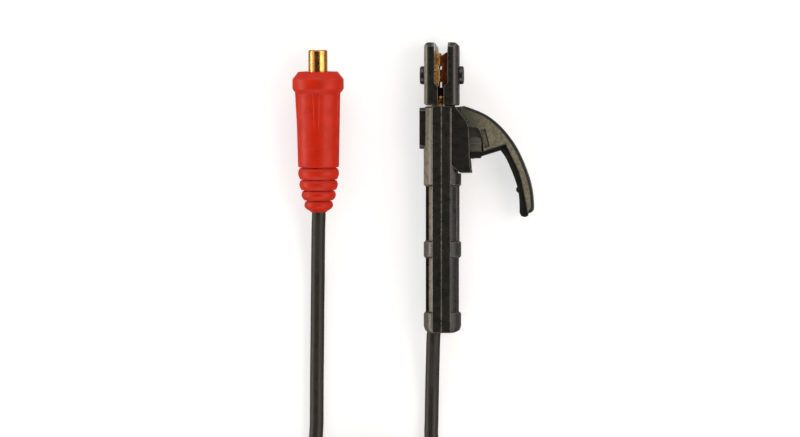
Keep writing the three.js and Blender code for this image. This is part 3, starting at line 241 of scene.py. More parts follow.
def coil_points(steps_per_turn=72):
    """Loops that spiral in on the table and out again one layer higher.

    With s as turns from the middle, the radius is the inner radius plus the pitch times |s|, the
    angle runs clockwise, and the height climbs one layer as a smooth step while |s| < 1/4.
    """
    turn = np.linspace(0, COIL_TURNS, int(COIL_TURNS * steps_per_turn) + 1)
    from_middle = turn - COIL_TURNS / 2
    radius = COIL_INNER_RADIUS + COIL_PITCH * np.abs(from_middle)
    x = COIL_CENTRE[0] + radius * np.cos(-2 * np.pi * turn)
    y = COIL_CENTRE[1] + radius * np.sin(-2 * np.pi * turn)
    return np.stack([x, y, CABLE_RADIUS + COIL_PITCH * smooth_step(2 * from_middle + 0.5)], axis=1)


def in_frame(points):
    """Model millimetres, counted from the handle's rear end, as metres in the shared frame."""
    return (np.asarray(points, float) - [0, HANDLE_LENGTH / 2, 0]) * MM


# %% The free cable
CABLE_SIDES = 20
CABLE_STEP = 2.5
leads = [smooth_through(points, CABLE_STEP) for points in (HOLDER_LEAD, PLUG_LEAD)]
route = np.vstack([leads[0][:-1], evenly_spaced(coil_points(), CABLE_STEP), leads[1][1:]])
cable_path = evenly_spaced(in_frame(route), CABLE_STEP * MM)
cable = piece_from_grid("cable", tube_points(cable_path, CABLE_RADIUS * MM, CABLE_SIDES))
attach(cable, HOLDER)
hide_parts("cable_holder_lead", "cable_coil", "cable_plug_lead")
free_length = np.linalg.norm(np.diff(cable_path, axis=0), axis=1).sum()
print("free cable", round(float(free_length), 2), "m long")

# %% Jacket inside the handle and inside the plug
IN_HANDLE = [(0, 62, 0), (0, 50, 0), (-0.8, 36, 0), (-2.2, 24, 0), (-3.3, 15, 0), (-4.2, 10.3, 0)]
IN_PLUG = [on_plug_axis(8.3), on_plug_axis(34)]
jackets = []
for name, points, node in (
    ("cable_end_in_handle", np.array(IN_HANDLE) + [0, 0, AXIS_HEIGHT], "cable_in_handle"),
    ("cable_end_in_plug", IN_PLUG, "cable_in_plug"),
):
    path = in_frame(smooth_through(points, CABLE_STEP))
    jacket = piece_from_grid(name, tube_points(path, CABLE_RADIUS * MM, CABLE_SIDES))
    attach(jacket, HOLDER)
    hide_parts(node)
    jackets.append(jacket)
print(len(jackets), "jackets")

# %% [markdown]
# ## Copies of the solids with rounded edges
#
# A moulding, a casting and a turned part never have a knife edge: the mould, the sand or the tool
# leaves a small radius, and use wears it. The model's solids have sharp edges. So the edges of a
# copy of each are rounded, and the faces of the rounding are marked, so that a finish can make them
# paler: partly the wear of hands and bench, partly a painted highlight.


# %% Read and mark a mesh
def read(items, name, width=3, kind=float):
    """A property of all the vertices, edges or faces of a mesh, as an array with a row for each."""
    values = np.empty(width * len(items), kind)
    items.foreach_get(name, values)
    return values.reshape(-1, width)


def mark_faces(piece, name, value):
    """A face attribute that a finish can read, with one value for each face."""
    layer = piece.data.attributes.new(name, "FLOAT", "FACE")
    layer.data.foreach_set("value", np.asarray(value, float))


# %% Where a mesh folds, and which edges are near
FOLD_ANGLE = 150
SHARP_ANGLE = 32
FLAT_ANGLE = 1
SLIVER = 1e-4 * MM * MM


def turns_over(edge, angle):
    """Whether the two faces of an edge turn by more than an angle in degrees."""
    return edge.is_manifold and edge.calc_face_angle() > math.radians(angle)


def folds_in(mesh):
    """The ends and the middle of each edge at which a mesh folds back on itself.

    It is cut into triangles first, because a wide face can fold inside its own outline. Edges of
    triangles smaller than SLIVER don't count.
    """
    shape = bmesh.new()
    shape.from_mesh(mesh)
    bmesh.ops.triangulate(shape, faces=shape.faces)
    ends = [
        [tuple(vert.co) for vert in edge.verts]
        for edge in shape.edges
        if turns_over(edge, FOLD_ANGLE)
        and min(face.calc_area() for face in edge.link_faces) > SLIVER
    ]
    shape.free()
    ends = np.array(ends).reshape(-1, 2, 3)
    return np.concatenate([ends, ends.mean(axis=1, keepdims=True)], axis=1)


def nearest_to_edges(points, start, end):
    """The distance from each edge to the nearest of the points.

    A point's foot on an edge is start + share * (end - start), where share is the point's
    projection on the edge, held between 0 and 1.
    """
    along = end - start
    share = ((points[:, None] - start) * along).sum(axis=-1) / (along**2).sum(axis=-1)
    foot = start + np.clip(share, 0, 1)[..., None] * along
    return np.linalg.norm(points[:, None] - foot, axis=-1).min(axis=0)


# %% Round the edges of a copy
TRIES, HALVING_TRIES = 10, 6
# An edge is near a fold within FOLD_REACH times its own rounding, taken as LEAST_SHARE or more.
FOLD_REACH, LEAST_SHARE = 1.5, 0.1


def merged_copy(node, merge):
    """A CAD node's loose triangles as one mesh of flat faces, and a 1 for each of its sharp edges."""
    shape = bmesh.new()
    shape.from_mesh(NODES[node].data)
    bmesh.ops.remove_doubles(shape, verts=shape.verts, dist=merge * MM)
    limit = math.radians(FLAT_ANGLE)
    bmesh.ops.dissolve_limit(shape, angle_limit=limit, verts=shape.verts, edges=shape.edges)
    sharp = np.array([turns_over(edge, SHARP_ANGLE) for edge in shape.edges], float)
    mesh = bpy.data.meshes.new(node + "_merged")
    shape.to_mesh(mesh)
    shape.free()
    return mesh, sharp


def rounded_mesh(piece, width, weight):
    """The mesh of a piece whose edges are rounded, each by the width times its weight.

    Where it folds, because a face is narrower than two roundings, the weights of the edges near
    the fold are halved and it is tried again. The last tries leave them sharp. The rounding's
    faces have the material number 1.
    """
    mesh = piece.data
    for _ in range(2):
        mesh.materials.append(None)
    mesh.attributes.new("bevel_weight_edge", "FLOAT", "EDGE")
    bevel = piece.modifiers.new("rounding", "BEVEL")
    bevel.limit_method = "WEIGHT"
    bevel.width = width
    bevel.segments = 2
    bevel.use_clamp_overlap = False
    bevel.material = 1
    ends = read(mesh.vertices, "co")[read(mesh.edges, "vertices", 2, int)]
    for trial in range(TRIES):
        mesh.attributes["bevel_weight_edge"].data.foreach_set("value", weight)
        mesh.update()
        seen = piece.evaluated_get(bpy.context.evaluated_depsgraph_get())
        rounded = bpy.data.meshes.new_from_object(seen)
        folds = folds_in(rounded)
        if not len(folds):
            break
        reach = FOLD_REACH * width * np.maximum(weight, LEAST_SHARE)
        near = nearest_to_edges(folds.reshape(-1, 3), ends[:, 0], ends[:, 1]) < reach
        weight[near] *= 0.5 if trial < HALVING_TRIES else 0
    piece.modifiers.clear()
    return rounded


def rounded_copy(node, width, body, slot, merge=0.05):
    """A copy of a CAD node whose sharp edges are rounded by a width in mm.

    Corners nearer than merge mm to each other become one first. The face attribute "edge" is 1
    on the faces of the rounding and 0 elsewhere.
    """
    mesh, weight = merged_copy(node, merge)
    piece = in_scene(node + "_dressed", mesh)
    piece.data = rounded_mesh(piece, width * MM, weight)
    edge = read(piece.data.polygons, "material_index", 1, int)[:, 0]
    mark_faces(piece, "edge", edge)
    piece.data.polygons.foreach_set("material_index", 0 * edge)
    piece.data.materials.clear()
    piece.data.shade_smooth()
    piece.modifiers.new("even_shading", "WEIGHTED_NORMAL").mode = "FACE_AREA_WITH_ANGLE"
    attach(piece, body)
    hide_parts(node)
    return piece


# %% Dressed copies
COPIES = {
    "handle": (0.3, HOLDER, "black_moulding"),
    "handle_screw": (0.12, HOLDER, "steel"),
    "fixed_jaw": (0.35, HOLDER, "brass"),
    "fixed_jaw_insulator": (0.3, HOLDER, "black_moulding"),
    "fixed_jaw_screw": (0.15, HOLDER, "black_moulding"),
    "plug_body": (0.2, HOLDER, "machined_brass"),
    "moving_jaw": (0.35, JAW, "bronze", 0.01),
    "moving_jaw_insulator": (0.3, JAW, "black_moulding"),
    "moving_jaw_screw": (0.15, JAW, "black_moulding"),
    "lever": (0.4, JAW, "black_moulding"),
}
pieces = {}
for node, details in COPIES.items():
    pieces[node] = rounded_copy(node, *details)
    mesh = pieces[node].data
    print(node, len(mesh.polygons), "faces", len(folds_in(mesh)), "folds")

# %% Mark the lever's flat flanges
ROOT_END = 25.5
FLAT, FACES_BACK = 0.99, 0.2
FLANGE_HEIGHT, FLOOR_HEIGHT = 6.9, 5.0
# The root's faces and the web take this low share of the dusty finish, so the pocket beside the
# holder's head is darker: painted shade.
ROOT_DUST_AND_SHADE = 0.3


def mark_flange(piece):
    """The face attribute "flange" says how much of the dusty flange finish a face has.

    It is 1 on the flat faces furthest out, 0.9 on the floor of the window, and a low share on the
    round barrel and the floors and walls near the root, which darkens them as painted shade, but 0
    on the back, which the hand rubs.
    """
    normal = read(piece.data.polygons, "normal")
    centre = read(piece.data.polygons, "center")
    height = np.abs(centre[:, 2] - AXIS_HEIGHT * MM)
    flat = np.abs(normal[:, 2]) > FLAT
    outer = flat & (height > FLANGE_HEIGHT * MM)
    root = (centre[:, 0] < ROOT_END * MM) & (normal[:, 0] <= FACES_BACK)
    floor = flat & (height > FLOOR_HEIGHT * MM) & (height < FLANGE_HEIGHT * MM)
    mark_faces(piece, "flange", np.select([outer, root, floor], [1.0, ROOT_DUST_AND_SHADE, 0.9]))
    print("flange faces", int(outer.sum()))


mark_flange(pieces["lever"])

# %% The handle's rear edge and its collars
REAR_PULL, REAR_BLEND, REAR_POWER = 2.8, 8.0, 2.5
REAR_FROM, REAR_TO = 6.0, 12.8
COLLARS = ((0.0, 14.3), (50.8, 62.7))
COLLAR_INNER = 10.8


def finish_handle(piece):
    """Round the rear edge on both sides of the keels, and mark the two collars' faces.

    A corner moves forward by REAR_PULL times the share of its distance from the keel, to the
    power REAR_POWER, and times the share of REAR_BLEND that it lies behind. The faces round it
    become triangles first, because they don't stay flat. The attribute "collar" is 1 on collars.
    """
    mesh = piece.data
    shape = bmesh.new()
    shape.from_mesh(mesh)
    pull = {}
    for vert in shape.verts:
        behind = 1 - (vert.co.y / MM + HANDLE_LENGTH / 2) / REAR_BLEND
        beside = (abs(vert.co.x) / MM - REAR_FROM) / (REAR_TO - REAR_FROM)
        if behind > 0 and beside > 0:
            pull[vert] = REAR_PULL * MM * min(beside, 1) ** REAR_POWER * min(behind, 1)
    around = dict.fromkeys(face for vert in pull for face in vert.link_faces)
    bmesh.ops.triangulate(shape, faces=list(around))
    for vert, distance in pull.items():
        vert.co.y += distance
    shape.to_mesh(mesh)
    shape.free()
    x, y, z = read(mesh.polygons, "center").T / MM
    outside = np.hypot(x, z - AXIS_HEIGHT) > COLLAR_INNER
    place = y + HANDLE_LENGTH / 2
    on_collar = np.any([(place > rear) & (place < front) for rear, front in COLLARS], axis=0)
    mark_faces(piece, "collar", outside & on_collar)
    mesh.update()
    print("moved", len(pull), "corners of the rear edge")


finish_handle(pieces["handle"])

# %% [markdown]
# ## The rim of the lever
#
# A raised, rounded rim runs along the back of the lever on both of its faces. It stiffens the thin
# flange and gives the palm a soft edge. Its path is read from the solid: the sharp edges between the
# flat face and the back, in order from the root to the tip. Palms polish it, so it stays dark.

# %% Lever's rim
RIM_WIDTH, RIM_RISE, RIM_PAST = 1.9, 0.28, 0.05
RIM_ROOT_X = 14 * MM
TIP_X, TIP_Y = 50 * MM, 8.5 * MM


def back_edge_of(node, side):
    """Points of the edge between a node's flat face and its back, on the side above or below.

    The back swings outward as far as the tip, so a point further in than one before it is left
    out. Past TIP_Y the edge turns in round the tip.
    """
    shape = bmesh.new()
    shape.from_mesh(NODES[node].data)
    bmesh.ops.remove_doubles(shape, verts=shape.verts, dist=0.01 * MM)
    found = set()
    for edge in shape.edges:
        normals = [face.normal for face in edge.link_faces]
        flat = any(n.z * side > FLAT for n in normals)
        outward = any((n.x > 0.15 or n.y < -0.5) and abs(n.z) < 0.1 for n in normals)
        if flat and outward and edge.verts[0].co.x > RIM_ROOT_X:
            found.update(vert.co.to_tuple(6) for vert in edge.verts)
    shape.free()
    points = np.array(sorted(found, key=lambda point: -point[1]))
    high = np.abs(points[:, 2] - AXIS_HEIGHT * MM)
    points = points[high > high.max() - 0.1 * MM]
    furthest = points[:, 0] >= np.maximum.accumulate(points[:, 0])
    return points[furthest | ((points[:, 1] < TIP_Y) & (points[:, 0] > TIP_X))]


def lever_rim(name, side):
    """A low bead along the back edge: an ellipse that reaches RIM_PAST mm past the edge.

    The edge is smoothed by the mean of five points in a row, and the bead thins out at its ends.
    """
    line = evenly_spaced(back_edge_of("lever", side), 1.0 * MM)
    kernel = np.ones(5) / 5
    line[2:-2] = np.stack([np.convolve(line[:, k], kernel, "valid") for k in range(3)], axis=1)
    ahead = unit(np.gradient(line, axis=0))
    inward = np.stack([ahead[:, 1], -ahead[:, 0], 0 * ahead[:, 0]], axis=1)
    angle = full_turn(14)
    number = np.arange(len(line))
    taper = np.clip(np.minimum(number, number[::-1]) / 2, 0.25, 1)[:, None]
    middle = line + (RIM_WIDTH / 2 - RIM_PAST) * MM * inward
    wide = RIM_WIDTH / 2 * MM * taper * np.cos(angle)
    points = middle[:, None, :] + wide[..., None] * inward[:, None, :]
    points[..., 2] += RIM_RISE * MM * taper * np.sin(angle) * side
    rim = piece_from_grid(name, points, flip=side < 0)
    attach(rim, JAW)
    return rim


rims = [lever_rim("lever_rim_top", 1), lever_rim("lever_rim_bottom", -1)]
print("rim of", [len(rim.data.polygons) for rim in rims], "faces")

# %% [markdown]
# ## The web at the lever's root
#
# A thick web joins the lever's root to the arm of the moving jaw, so that the squeeze of the hand
# goes straight into the casting. It is moulded with the lever, a little thinner than its flanges.

# %% Web at the root
WEB_OUTLINE = [(13.1, 70.2), (13.1, 76.85), (8.2, 76.4), (8.25, 75.9), (9.9, 70.2), (13.1, 70.2)]
WEB_HALF = 6.4
# How deep each row of the rounded edge lies below the web's face, and how far it is drawn in.
WEB_EDGE = ((0.0, 0.6), (0.25, 0.2), (0.6, 0.0))
web_rows = [(depth - WEB_HALF, inset) for depth, inset in WEB_EDGE]
web_rows += [(-level, inset) for level, inset in reversed(web_rows)]
web_line = evenly_spaced(np.array([(*point, AXIS_HEIGHT) for point in WEB_OUTLINE]), 0.5)[:-1]
inward = unit(web_line.mean(axis=0) - web_line)
web_points = np.stack([web_line + inset * inward + [0, 0, level] for level, inset in web_rows])
root_web = piece_from_grid("lever_root_web", web_points * MM)
# The web takes the root's low share of the dusty finish: painted shade.
mark_faces(root_web, "flange", np.full(len(root_web.data.polygons), ROOT_DUST_AND_SHADE))
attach(root_web, JAW)
print("web", round(2 * WEB_HALF, 1), "mm thick")

# %% [markdown]
# ## The flash line on the keel
#
# The mould's two halves meet along the top and the bottom of the handle. A little resin creeps into
# the seam and leaves a thin line, which is rubbed pale and carries a painted highlight. It is a low
# ridge, a third of a mm wide.

# %% Flash lines
FLASH_HALF_WIDE, FLASH_RISE = 0.35, 0.08
FLASH_END = 0.6
# The upper line is sunk this far into the keel, and the lower one lies this far above the table.
FLASH_SUNK, FLASH_LIFT = 0.02, 0.11


def flash_line(name, height, side):
    """A half-round ridge along the handle: a circle's upper half, stretched to be low and wide.

    Its width wavers by up to a quarter, as the product of two sines of the place along it.
    """
    along = np.linspace(FLASH_END, HANDLE_LENGTH - FLASH_END, 160)[:, None]
    angle = full_turn(10)
    waver = 1 + 0.25 * np.sin(along * 0.9) * np.sin(along * 0.37)
    across = FLASH_HALF_WIDE * np.cos(angle) * waver
    up = AXIS_HEIGHT + height + side * FLASH_RISE * np.sin(angle) + 0 * along
    line = piece_from_grid(
        name, in_frame(np.stack([across, along + 0 * angle, up], axis=-1)), flip=side > 0
    )
    # The whole ridge takes the pale edge colour: partly wear, partly a painted highlight.
    mark_faces(line, "edge", np.ones(len(line.data.polygons)))
    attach(line, HOLDER)
    return line


flash_lines = [
    flash_line("flash_line_top", AXIS_HEIGHT - FLASH_SUNK, 1),
    flash_line("flash_line_bottom", FLASH_LIFT - AXIS_HEIGHT, -1),
]
print(len(flash_lines), "flash lines")

# %% [markdown]
# ## The pin in the neck
#
# Between the roots of the jaws stands a brass pin with a round head, which keeps the castings in
# line. Half of its section is carried once round its middle. The plan isn't quite round, because
# the pin is filed to fit the gap: it is a little longer than wide, and its sides are flatter.

# %% Neck pin
NECK_CENTRE = (-0.97, HANDLE_LENGTH / 2 + 81.3)
NECK_HALF = (2.4, 2.85)
NECK_SQUARENESS = 0.75
NECK_FOOT, NECK_SHOULDER, NECK_DOME = 8.0, 18.8, 1.9
round_head = np.radians(np.linspace(0, 78, 8))
share = np.concatenate([[0.9, 1.0], np.cos(round_head)])[:, None]
height = np.concatenate([[NECK_FOOT, NECK_FOOT + 0.4], NECK_SHOULDER + NECK_DOME * np.sin(round_head)])
wave = np.array([np.cos(full_turn(32)), np.sin(full_turn(32))])
across, along = np.sign(wave) * np.abs(wave) ** NECK_SQUARENESS
x = NECK_CENTRE[0] + NECK_HALF[0] * share * across
y = NECK_CENTRE[1] + NECK_HALF[1] * share * along
neck_pin = piece_from_grid("neck_pin", in_frame(np.stack([x, y, height[:, None] + 0 * x], axis=-1)))
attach(neck_pin, HOLDER)
print("neck pin", round(2 * NECK_HALF[0], 1), "mm wide")

# %% [markdown]
# ## The plug's sleeve
#
# The sleeve is one moulding of soft red rubber. Five ridges let a wet glove turn it, the round
# collar stops the hand at the socket, and four cups let the cable bend without a kink. Its surface
# is a grid: the rows follow the section from the tail along the outside, over the front face and
# back through the bore, and the columns go round in five equal sectors, one for each ridge.

# %% Section of the sleeve
SLEEVE_LENGTH = 95.8
CABLE_HOLE = CABLE_RADIUS + 0.3
BODY_REAR, BODY_REAR_RADIUS = 31.2, 14.0
BODY_FRONT, BODY_FRONT_RADIUS = 80.8, 15.1
COLLAR_REAR, COLLAR_FRONT, COLLAR_RADIUS = 84.6, 90.2, 17.5
COLLAR_ROUND = 1.5
FACE_RADIUS = 13.6
BORE_RADIUS, WAIST_RADIUS = 10.8, 9.3
BORE_STEP, TAIL_BORE_LENGTH = 60.0, 33.0
GROOVES = (30.3, 22.0, 14.7, 7.6, 0.1)
GROOVE_DEPTH, GROOVE_HALF = 0.9, 0.22
CUP_RADIUS = (13.98, 13.14, 11.76, 9.84)
REAR_DROP = (1.4, 1.5, 2.1, 4.1)
FRONT_DROP = (1.1, 0.9, 0.8, 0.8)
CREST_SHARE = 0.58


def cup_section(number):
    """Radius and place along one cup and its front groove, counted from the body to the tail.

    The crest lies at CREST_SHARE of the way between the grooves. The radius falls from it on
    both sides as the drop times the square of the distance's share. The last two points are the
    floor of the groove.
    """
    rear = GROOVES[number + 1] + 2 * GROOVE_HALF
    front = GROOVES[number] - 2 * GROOVE_HALF
    crest = rear + CREST_SHARE * (front - rear)
    place = np.concatenate([np.linspace(rear, crest, 9), np.linspace(crest, front, 8)[1:]])
    behind = place < crest
    share = (place - crest) / np.where(behind, rear - crest, front - crest)
    drop = np.where(behind, REAR_DROP[number], FRONT_DROP[number])
    radius = CUP_RADIUS[number] - drop * share**2
    floor = radius[-1] - GROOVE_DEPTH
    groove = [(floor, GROOVES[number] - GROOVE_HALF), (floor, GROOVES[number] + GROOVE_HALF)]
    return np.vstack([np.stack([radius, place], axis=1), groove])


def body_radius(along):
    """The sleeve's body widens evenly from its rear to its front."""
    return np.interp(along, [BODY_REAR, BODY_FRONT], [BODY_REAR_RADIUS, BODY_FRONT_RADIUS])


def arc(centre, radius, start, end, count=6):
    """Points of (radius, place) round a centre, from one angle to another in degrees."""
    angle = np.radians(np.linspace(start, end, count))
    return centre + radius * np.stack([np.cos(angle), np.sin(angle)], axis=1)


# Each point is (radius, place) in mm. The numbers added to the names ease one form into the next.
body_rows = np.linspace(BODY_REAR, BODY_FRONT, 60)
section = np.vstack(
    [
        [(CABLE_HOLE, 0.2), (CABLE_HOLE + 0.15, 0), (CABLE_HOLE + 0.5, 0), (CABLE_HOLE + 0.8, 0.4)],
        *[cup_section(number) for number in reversed(range(len(CUP_RADIUS)))],
        [(BODY_REAR_RADIUS - 0.6, BODY_REAR - 0.5), (BODY_REAR_RADIUS - 0.2, BODY_REAR - 0.25)],
        np.stack([body_radius(body_rows), body_rows], axis=1),
        [(BODY_FRONT_RADIUS + 0.25, BODY_FRONT + 0.45), (BODY_FRONT_RADIUS + 0.8, BODY_FRONT + 1.1)],
        [(COLLAR_RADIUS - 0.9, COLLAR_REAR - 1.9)],
        arc((COLLAR_RADIUS - COLLAR_ROUND, COLLAR_REAR), COLLAR_ROUND, -45, 0),
        arc((COLLAR_RADIUS - COLLAR_ROUND, COLLAR_FRONT), COLLAR_ROUND, 0, 50),
        arc((FACE_RADIUS - 0.4, SLEEVE_LENGTH - 0.6), 0.6, 50, 90, 4),
        arc((BORE_RADIUS + 0.4, SLEEVE_LENGTH - 0.4), 0.4, 90, 180, 4),
        [(BORE_RADIUS, BORE_STEP), (WAIST_RADIUS, BORE_STEP)],
        [(WAIST_RADIUS, TAIL_BORE_LENGTH), (CABLE_HOLE, TAIL_BORE_LENGTH)],
    ]
)
print("sleeve section of", len(section), "points")

# %% Ridges round the sleeve
RIDGES = 5
RIDGE_END = 54.0
RIDGE_HEIGHT = 0.9
RIDGE_ROOT_WIDTH, RIDGE_TOP_WIDTH = 5.4, 3.6
RIDGE_REAR_SHARE = 0.65


def ridged_sleeve(section):
    """Points of the sleeve in mm, with x across, y along and z up, before the plug is tilted.

    In each sector the columns keep their shares of the ridge's top, its flank and the plain part,
    whatever its width is in that row. A ridge grows evenly from its rear end, and its flank
    follows a smooth step.
    """
    radius, along = section[:, :1], section[:, 1:]
    rise = np.clip((along - RIDGE_END) / (COLLAR_REAR - RIDGE_END), 0, 1)
    outside = (np.arange(len(section)) < np.argmax(section[:, 1] >= COLLAR_REAR))[:, None]
    share = RIDGE_REAR_SHARE + (1 - RIDGE_REAR_SHARE) * rise
    root = share * RIDGE_ROOT_WIDTH / 2 / BODY_FRONT_RADIUS
    top = share * RIDGE_TOP_WIDTH / 2 / BODY_FRONT_RADIUS
    plain = root + (np.pi / RIDGES - root) * (np.arange(7) / 7) ** 1.3
    half = np.hstack([top * np.arange(3) / 3, top + (root - top) * np.arange(6) / 6, plain])
    sector = np.hstack([-half[:, :0:-1], half, np.full_like(root, np.pi / RIDGES)])
    flank = smooth_step((root - np.abs(sector)) / (root - top))
    lift = np.where(outside, BODY_FRONT_RADIUS + RIDGE_HEIGHT - body_radius(RIDGE_END), 0)
    crown = body_radius(RIDGE_END) + rise * lift
    ridge = np.where(outside & (rise > 0), np.maximum(crown - radius, 0), 0) * flank
    angle = (full_turn(RIDGES)[None, :, None] + sector[:, None, :]).reshape(len(section), -1)
    reach = np.tile(radius + ridge, (1, RIDGES))
    place = np.broadcast_to(along, reach.shape)
    return np.stack([reach * np.sin(angle), place, reach * np.cos(angle)], axis=-1)


def on_plug(points):
    """Points in the plug's own axes, tilted and moved to where the plug lies, in metres."""
    x, y, z = np.moveaxis(points, -1, 0)
    lean, rise = math.cos(PLUG_TILT), math.sin(PLUG_TILT)
    tilted = np.stack([x, lean * y - rise * z, rise * y + lean * z], axis=-1)
    return in_frame(tilted + PLUG_TAIL)


sleeve = piece_from_grid("red_sleeve", on_plug(ridged_sleeve(section)), ring=True, sharp=40)
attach(sleeve, HOLDER)
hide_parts("plug_sleeve")
print("sleeve has", len(sleeve.data.polygons), "faces")

# %% [markdown]
# ## The bared copper
#
# Under the jacket is a rope of fine copper wires, twisted so that it bends. A copper sleeve is
# crimped over its end, and two screws press on the sleeve inside the brass.

# %% Ropes of copper wires
ROPE_RADIUS, ROPE_LAY = 2.6, 38.0
STRANDS, COLUMNS_EACH = 11, 7
IN_PLUG_BODY = (34.3, 62.0)


def rope_section():
    """Distance of the outline from the rope's axis, at COLUMNS_EACH angles for each strand.

    The strands are circles that touch their neighbours. With w as a strand's radius and m as the
    distance of its centre, w = m * sin(pi / strands) and m + w is the rope's radius. At the angle
    a from a strand's centre the outline lies at m * cos(a) + sqrt(w ** 2 - (m * sin(a)) ** 2).
    """
    pinch = math.sin(math.pi / STRANDS)
    middle = ROPE_RADIUS / (1 + pinch)
    away = (np.arange(COLUMNS_EACH) / COLUMNS_EACH - 0.5) * 2 * math.pi / STRANDS
    inside = (middle * pinch) ** 2 - (middle * np.sin(away)) ** 2
    return np.tile(middle * np.cos(away) + np.sqrt(np.maximum(inside, 0)), STRANDS)


def copper_rope(name, node, start, end, place):
    """A twisted rope along y between two places in mm, carried into the frame by place."""
    outline = rope_section()
    along = np.linspace(start, end, 60)[:, None]
    angle = full_turn(len(outline)) + 2 * np.pi * along / ROPE_LAY
    points = [outline * np.cos(angle), along + 0 * angle, outline * np.sin(angle)]
    rope = piece_from_grid(name, place(np.stack(points, axis=-1)), flip=True, sharp=50)
    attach(rope, HOLDER)
    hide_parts(node)
    return rope


in_core = [corner[1] / MM + HANDLE_LENGTH / 2 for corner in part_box("holder_conductor")]
pieces["holder_conductor"] = copper_rope(
    "copper_in_holder",
    "holder_conductor",
    *in_core,
    lambda points: in_frame(points + [0, 0, AXIS_HEIGHT]),
)
pieces["plug_conductor"] = copper_rope("copper_in_plug", "plug_conductor", *IN_PLUG_BODY, on_plug)
print("copper from", [round(end, 1) for end in in_core], "mm along the holder")

# %% [markdown]
# ## The lever's spring
#
# A coil of round spring wire pushes the lever away from the core and so closes the jaws. Its last
# curls lie closer together, as those of a cut spring do.

# %% Spring
SPRING_CURLS = 7
SPRING_RADIUS = 4.0
WIRE_RADIUS = 0.65
SPRING_Y = HANDLE_LENGTH - 25.5
END_CLOSING = 0.055
seat, pocket = (corner[0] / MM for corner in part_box("lever_spring"))
turns = np.linspace(0, 1, SPRING_CURLS * 28)
travel = (pocket - seat - 2 * WIRE_RADIUS) * (turns - END_CLOSING * np.sin(4 * np.pi * turns))
angle = 2 * np.pi * SPRING_CURLS * turns
y = SPRING_Y + SPRING_RADIUS * np.cos(angle)
z = AXIS_HEIGHT + SPRING_RADIUS * np.sin(angle)
spring_path = in_frame(np.stack([seat + WIRE_RADIUS + travel, y, z], axis=1))
spring_points = tube_points(spring_path, WIRE_RADIUS * MM, 10, reference=(1, 0, 0))
spring = piece_from_grid("lever_spring_coil", spring_points)
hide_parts("lever_spring")
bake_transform(spring)
print("spring from", round(seat, 2), "to", round(pocket, 2), "mm")

# %% [markdown]
# ## The tie round the coil
#
# The spare cable is put away as a flat coil, and one woven strap with a hook and loop face holds
# its loops together. The strap goes once round the bundle and a third of the way round again, where
# it sticks to itself. It is pulled tight, so it presses a little into the rubber.

# %% Strap
STRAP_WIDTH = 18.0
STRAP_THICKNESS = 1.3
STRAP_ROUND = 6.0
STRAP_TURNS = 1.34
STRAP_START = 0.3
STRAP_DIRECTION = math.radians(-62)


def strap_loop(count):
    """Middle line of the strap in the plane across the bundle: out from the coil's centre, and up.

    At the angle a the line is a corner's arc, STRAP_ROUND * (cos a, sin a), from the corner of a
    rectangle whose signs are those of cos a and sin a. In the last sixth of the first turn it
    climbs to lie one thickness further out.
    """
    inner = COIL_INNER_RADIUS - CABLE_RADIUS
    outer = COIL_REACH + CABLE_RADIUS
    top = 2 * CABLE_RADIUS + COIL_PITCH
    half_across, half_up = (outer - inner) / 2, (top - STRAP_THICKNESS) / 2 + 0.6
    turn = np.linspace(0, STRAP_TURNS, count)
    cosine, sine = np.cos(STRAP_START + 2 * np.pi * turn), np.sin(STRAP_START + 2 * np.pi * turn)
    reach = STRAP_ROUND + 1.05 * STRAP_THICKNESS * smooth_step(6 * turn - 5)
    out = np.sign(cosine) * (half_across - STRAP_ROUND) + reach * cosine
    up = np.sign(sine) * (half_up - STRAP_ROUND) + reach * sine
    line = [(inner + outer) / 2 + out, half_up + STRAP_THICKNESS / 2 + up, 0 * turn]
    return evenly_spaced(np.stack(line, axis=1), 1.0)[:, :2]


def strap_points():
    """A flat band along the loop: a section of 12 points with rounded edges in each row."""
    line = strap_loop(900)
    ahead = unit(np.gradient(line, axis=0))
    outward = np.stack([ahead[:, 1], -ahead[:, 0]], axis=1)
    angle = full_turn(12) + np.pi / 12
    half_thick = STRAP_THICKNESS / 2
    wide = np.sign(np.cos(angle)) * (STRAP_WIDTH / 2 - half_thick) + half_thick * np.cos(angle)
    flat = line[:, None, :] + half_thick * np.sin(angle)[:, None] * outward[:, None, :]
    direction = np.array([math.cos(STRAP_DIRECTION), math.sin(STRAP_DIRECTION), 0])
    beside = np.array([-direction[1], direction[0], 0])
    from_centre = flat[..., :1] * direction + flat[..., 1:] * np.array([0, 0, 1])
    return [*COIL_CENTRE, 0] + from_centre + wide[:, None] * beside


strap = piece_from_grid("coil_strap", in_frame(strap_points()), sharp=50)
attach(strap, HOLDER)
print("strap has", len(strap.data.polygons), "faces")

# %% [markdown]
# ## Finishes
#
# Each finish starts from what the real material is and how it was made. Its patterns are sized in
# millimetres of the object, and its colours are written as they look in plain daylight.


# %% Colours and nodes
# A wave texture draws this many lines in the space of one cell.
WAVE_LINES = 20
# The sockets of a mix of colours, by their numbers, and its settings.
SHARE, FIRST, SECOND = 0, 6, 7
COLOURS = {"data_type": "RGBA", "result": 2}


def linear(code):
    """A colour written as sRGB hex, such as "#c62a1c", as linear red, green, blue and alpha."""
    value = np.array([int(code[i : i + 2], 16) for i in (1, 3, 5)]) / 255
    value = np.where(value <= 0.04045, value / 12.92, ((value + 0.055) / 1.055) ** 2.4)
    return (*value.tolist(), 1.0)


def per(size):
    """The texture scale at which one cell of a pattern is size mm wide on the object."""
    return 1 / (size * MM)


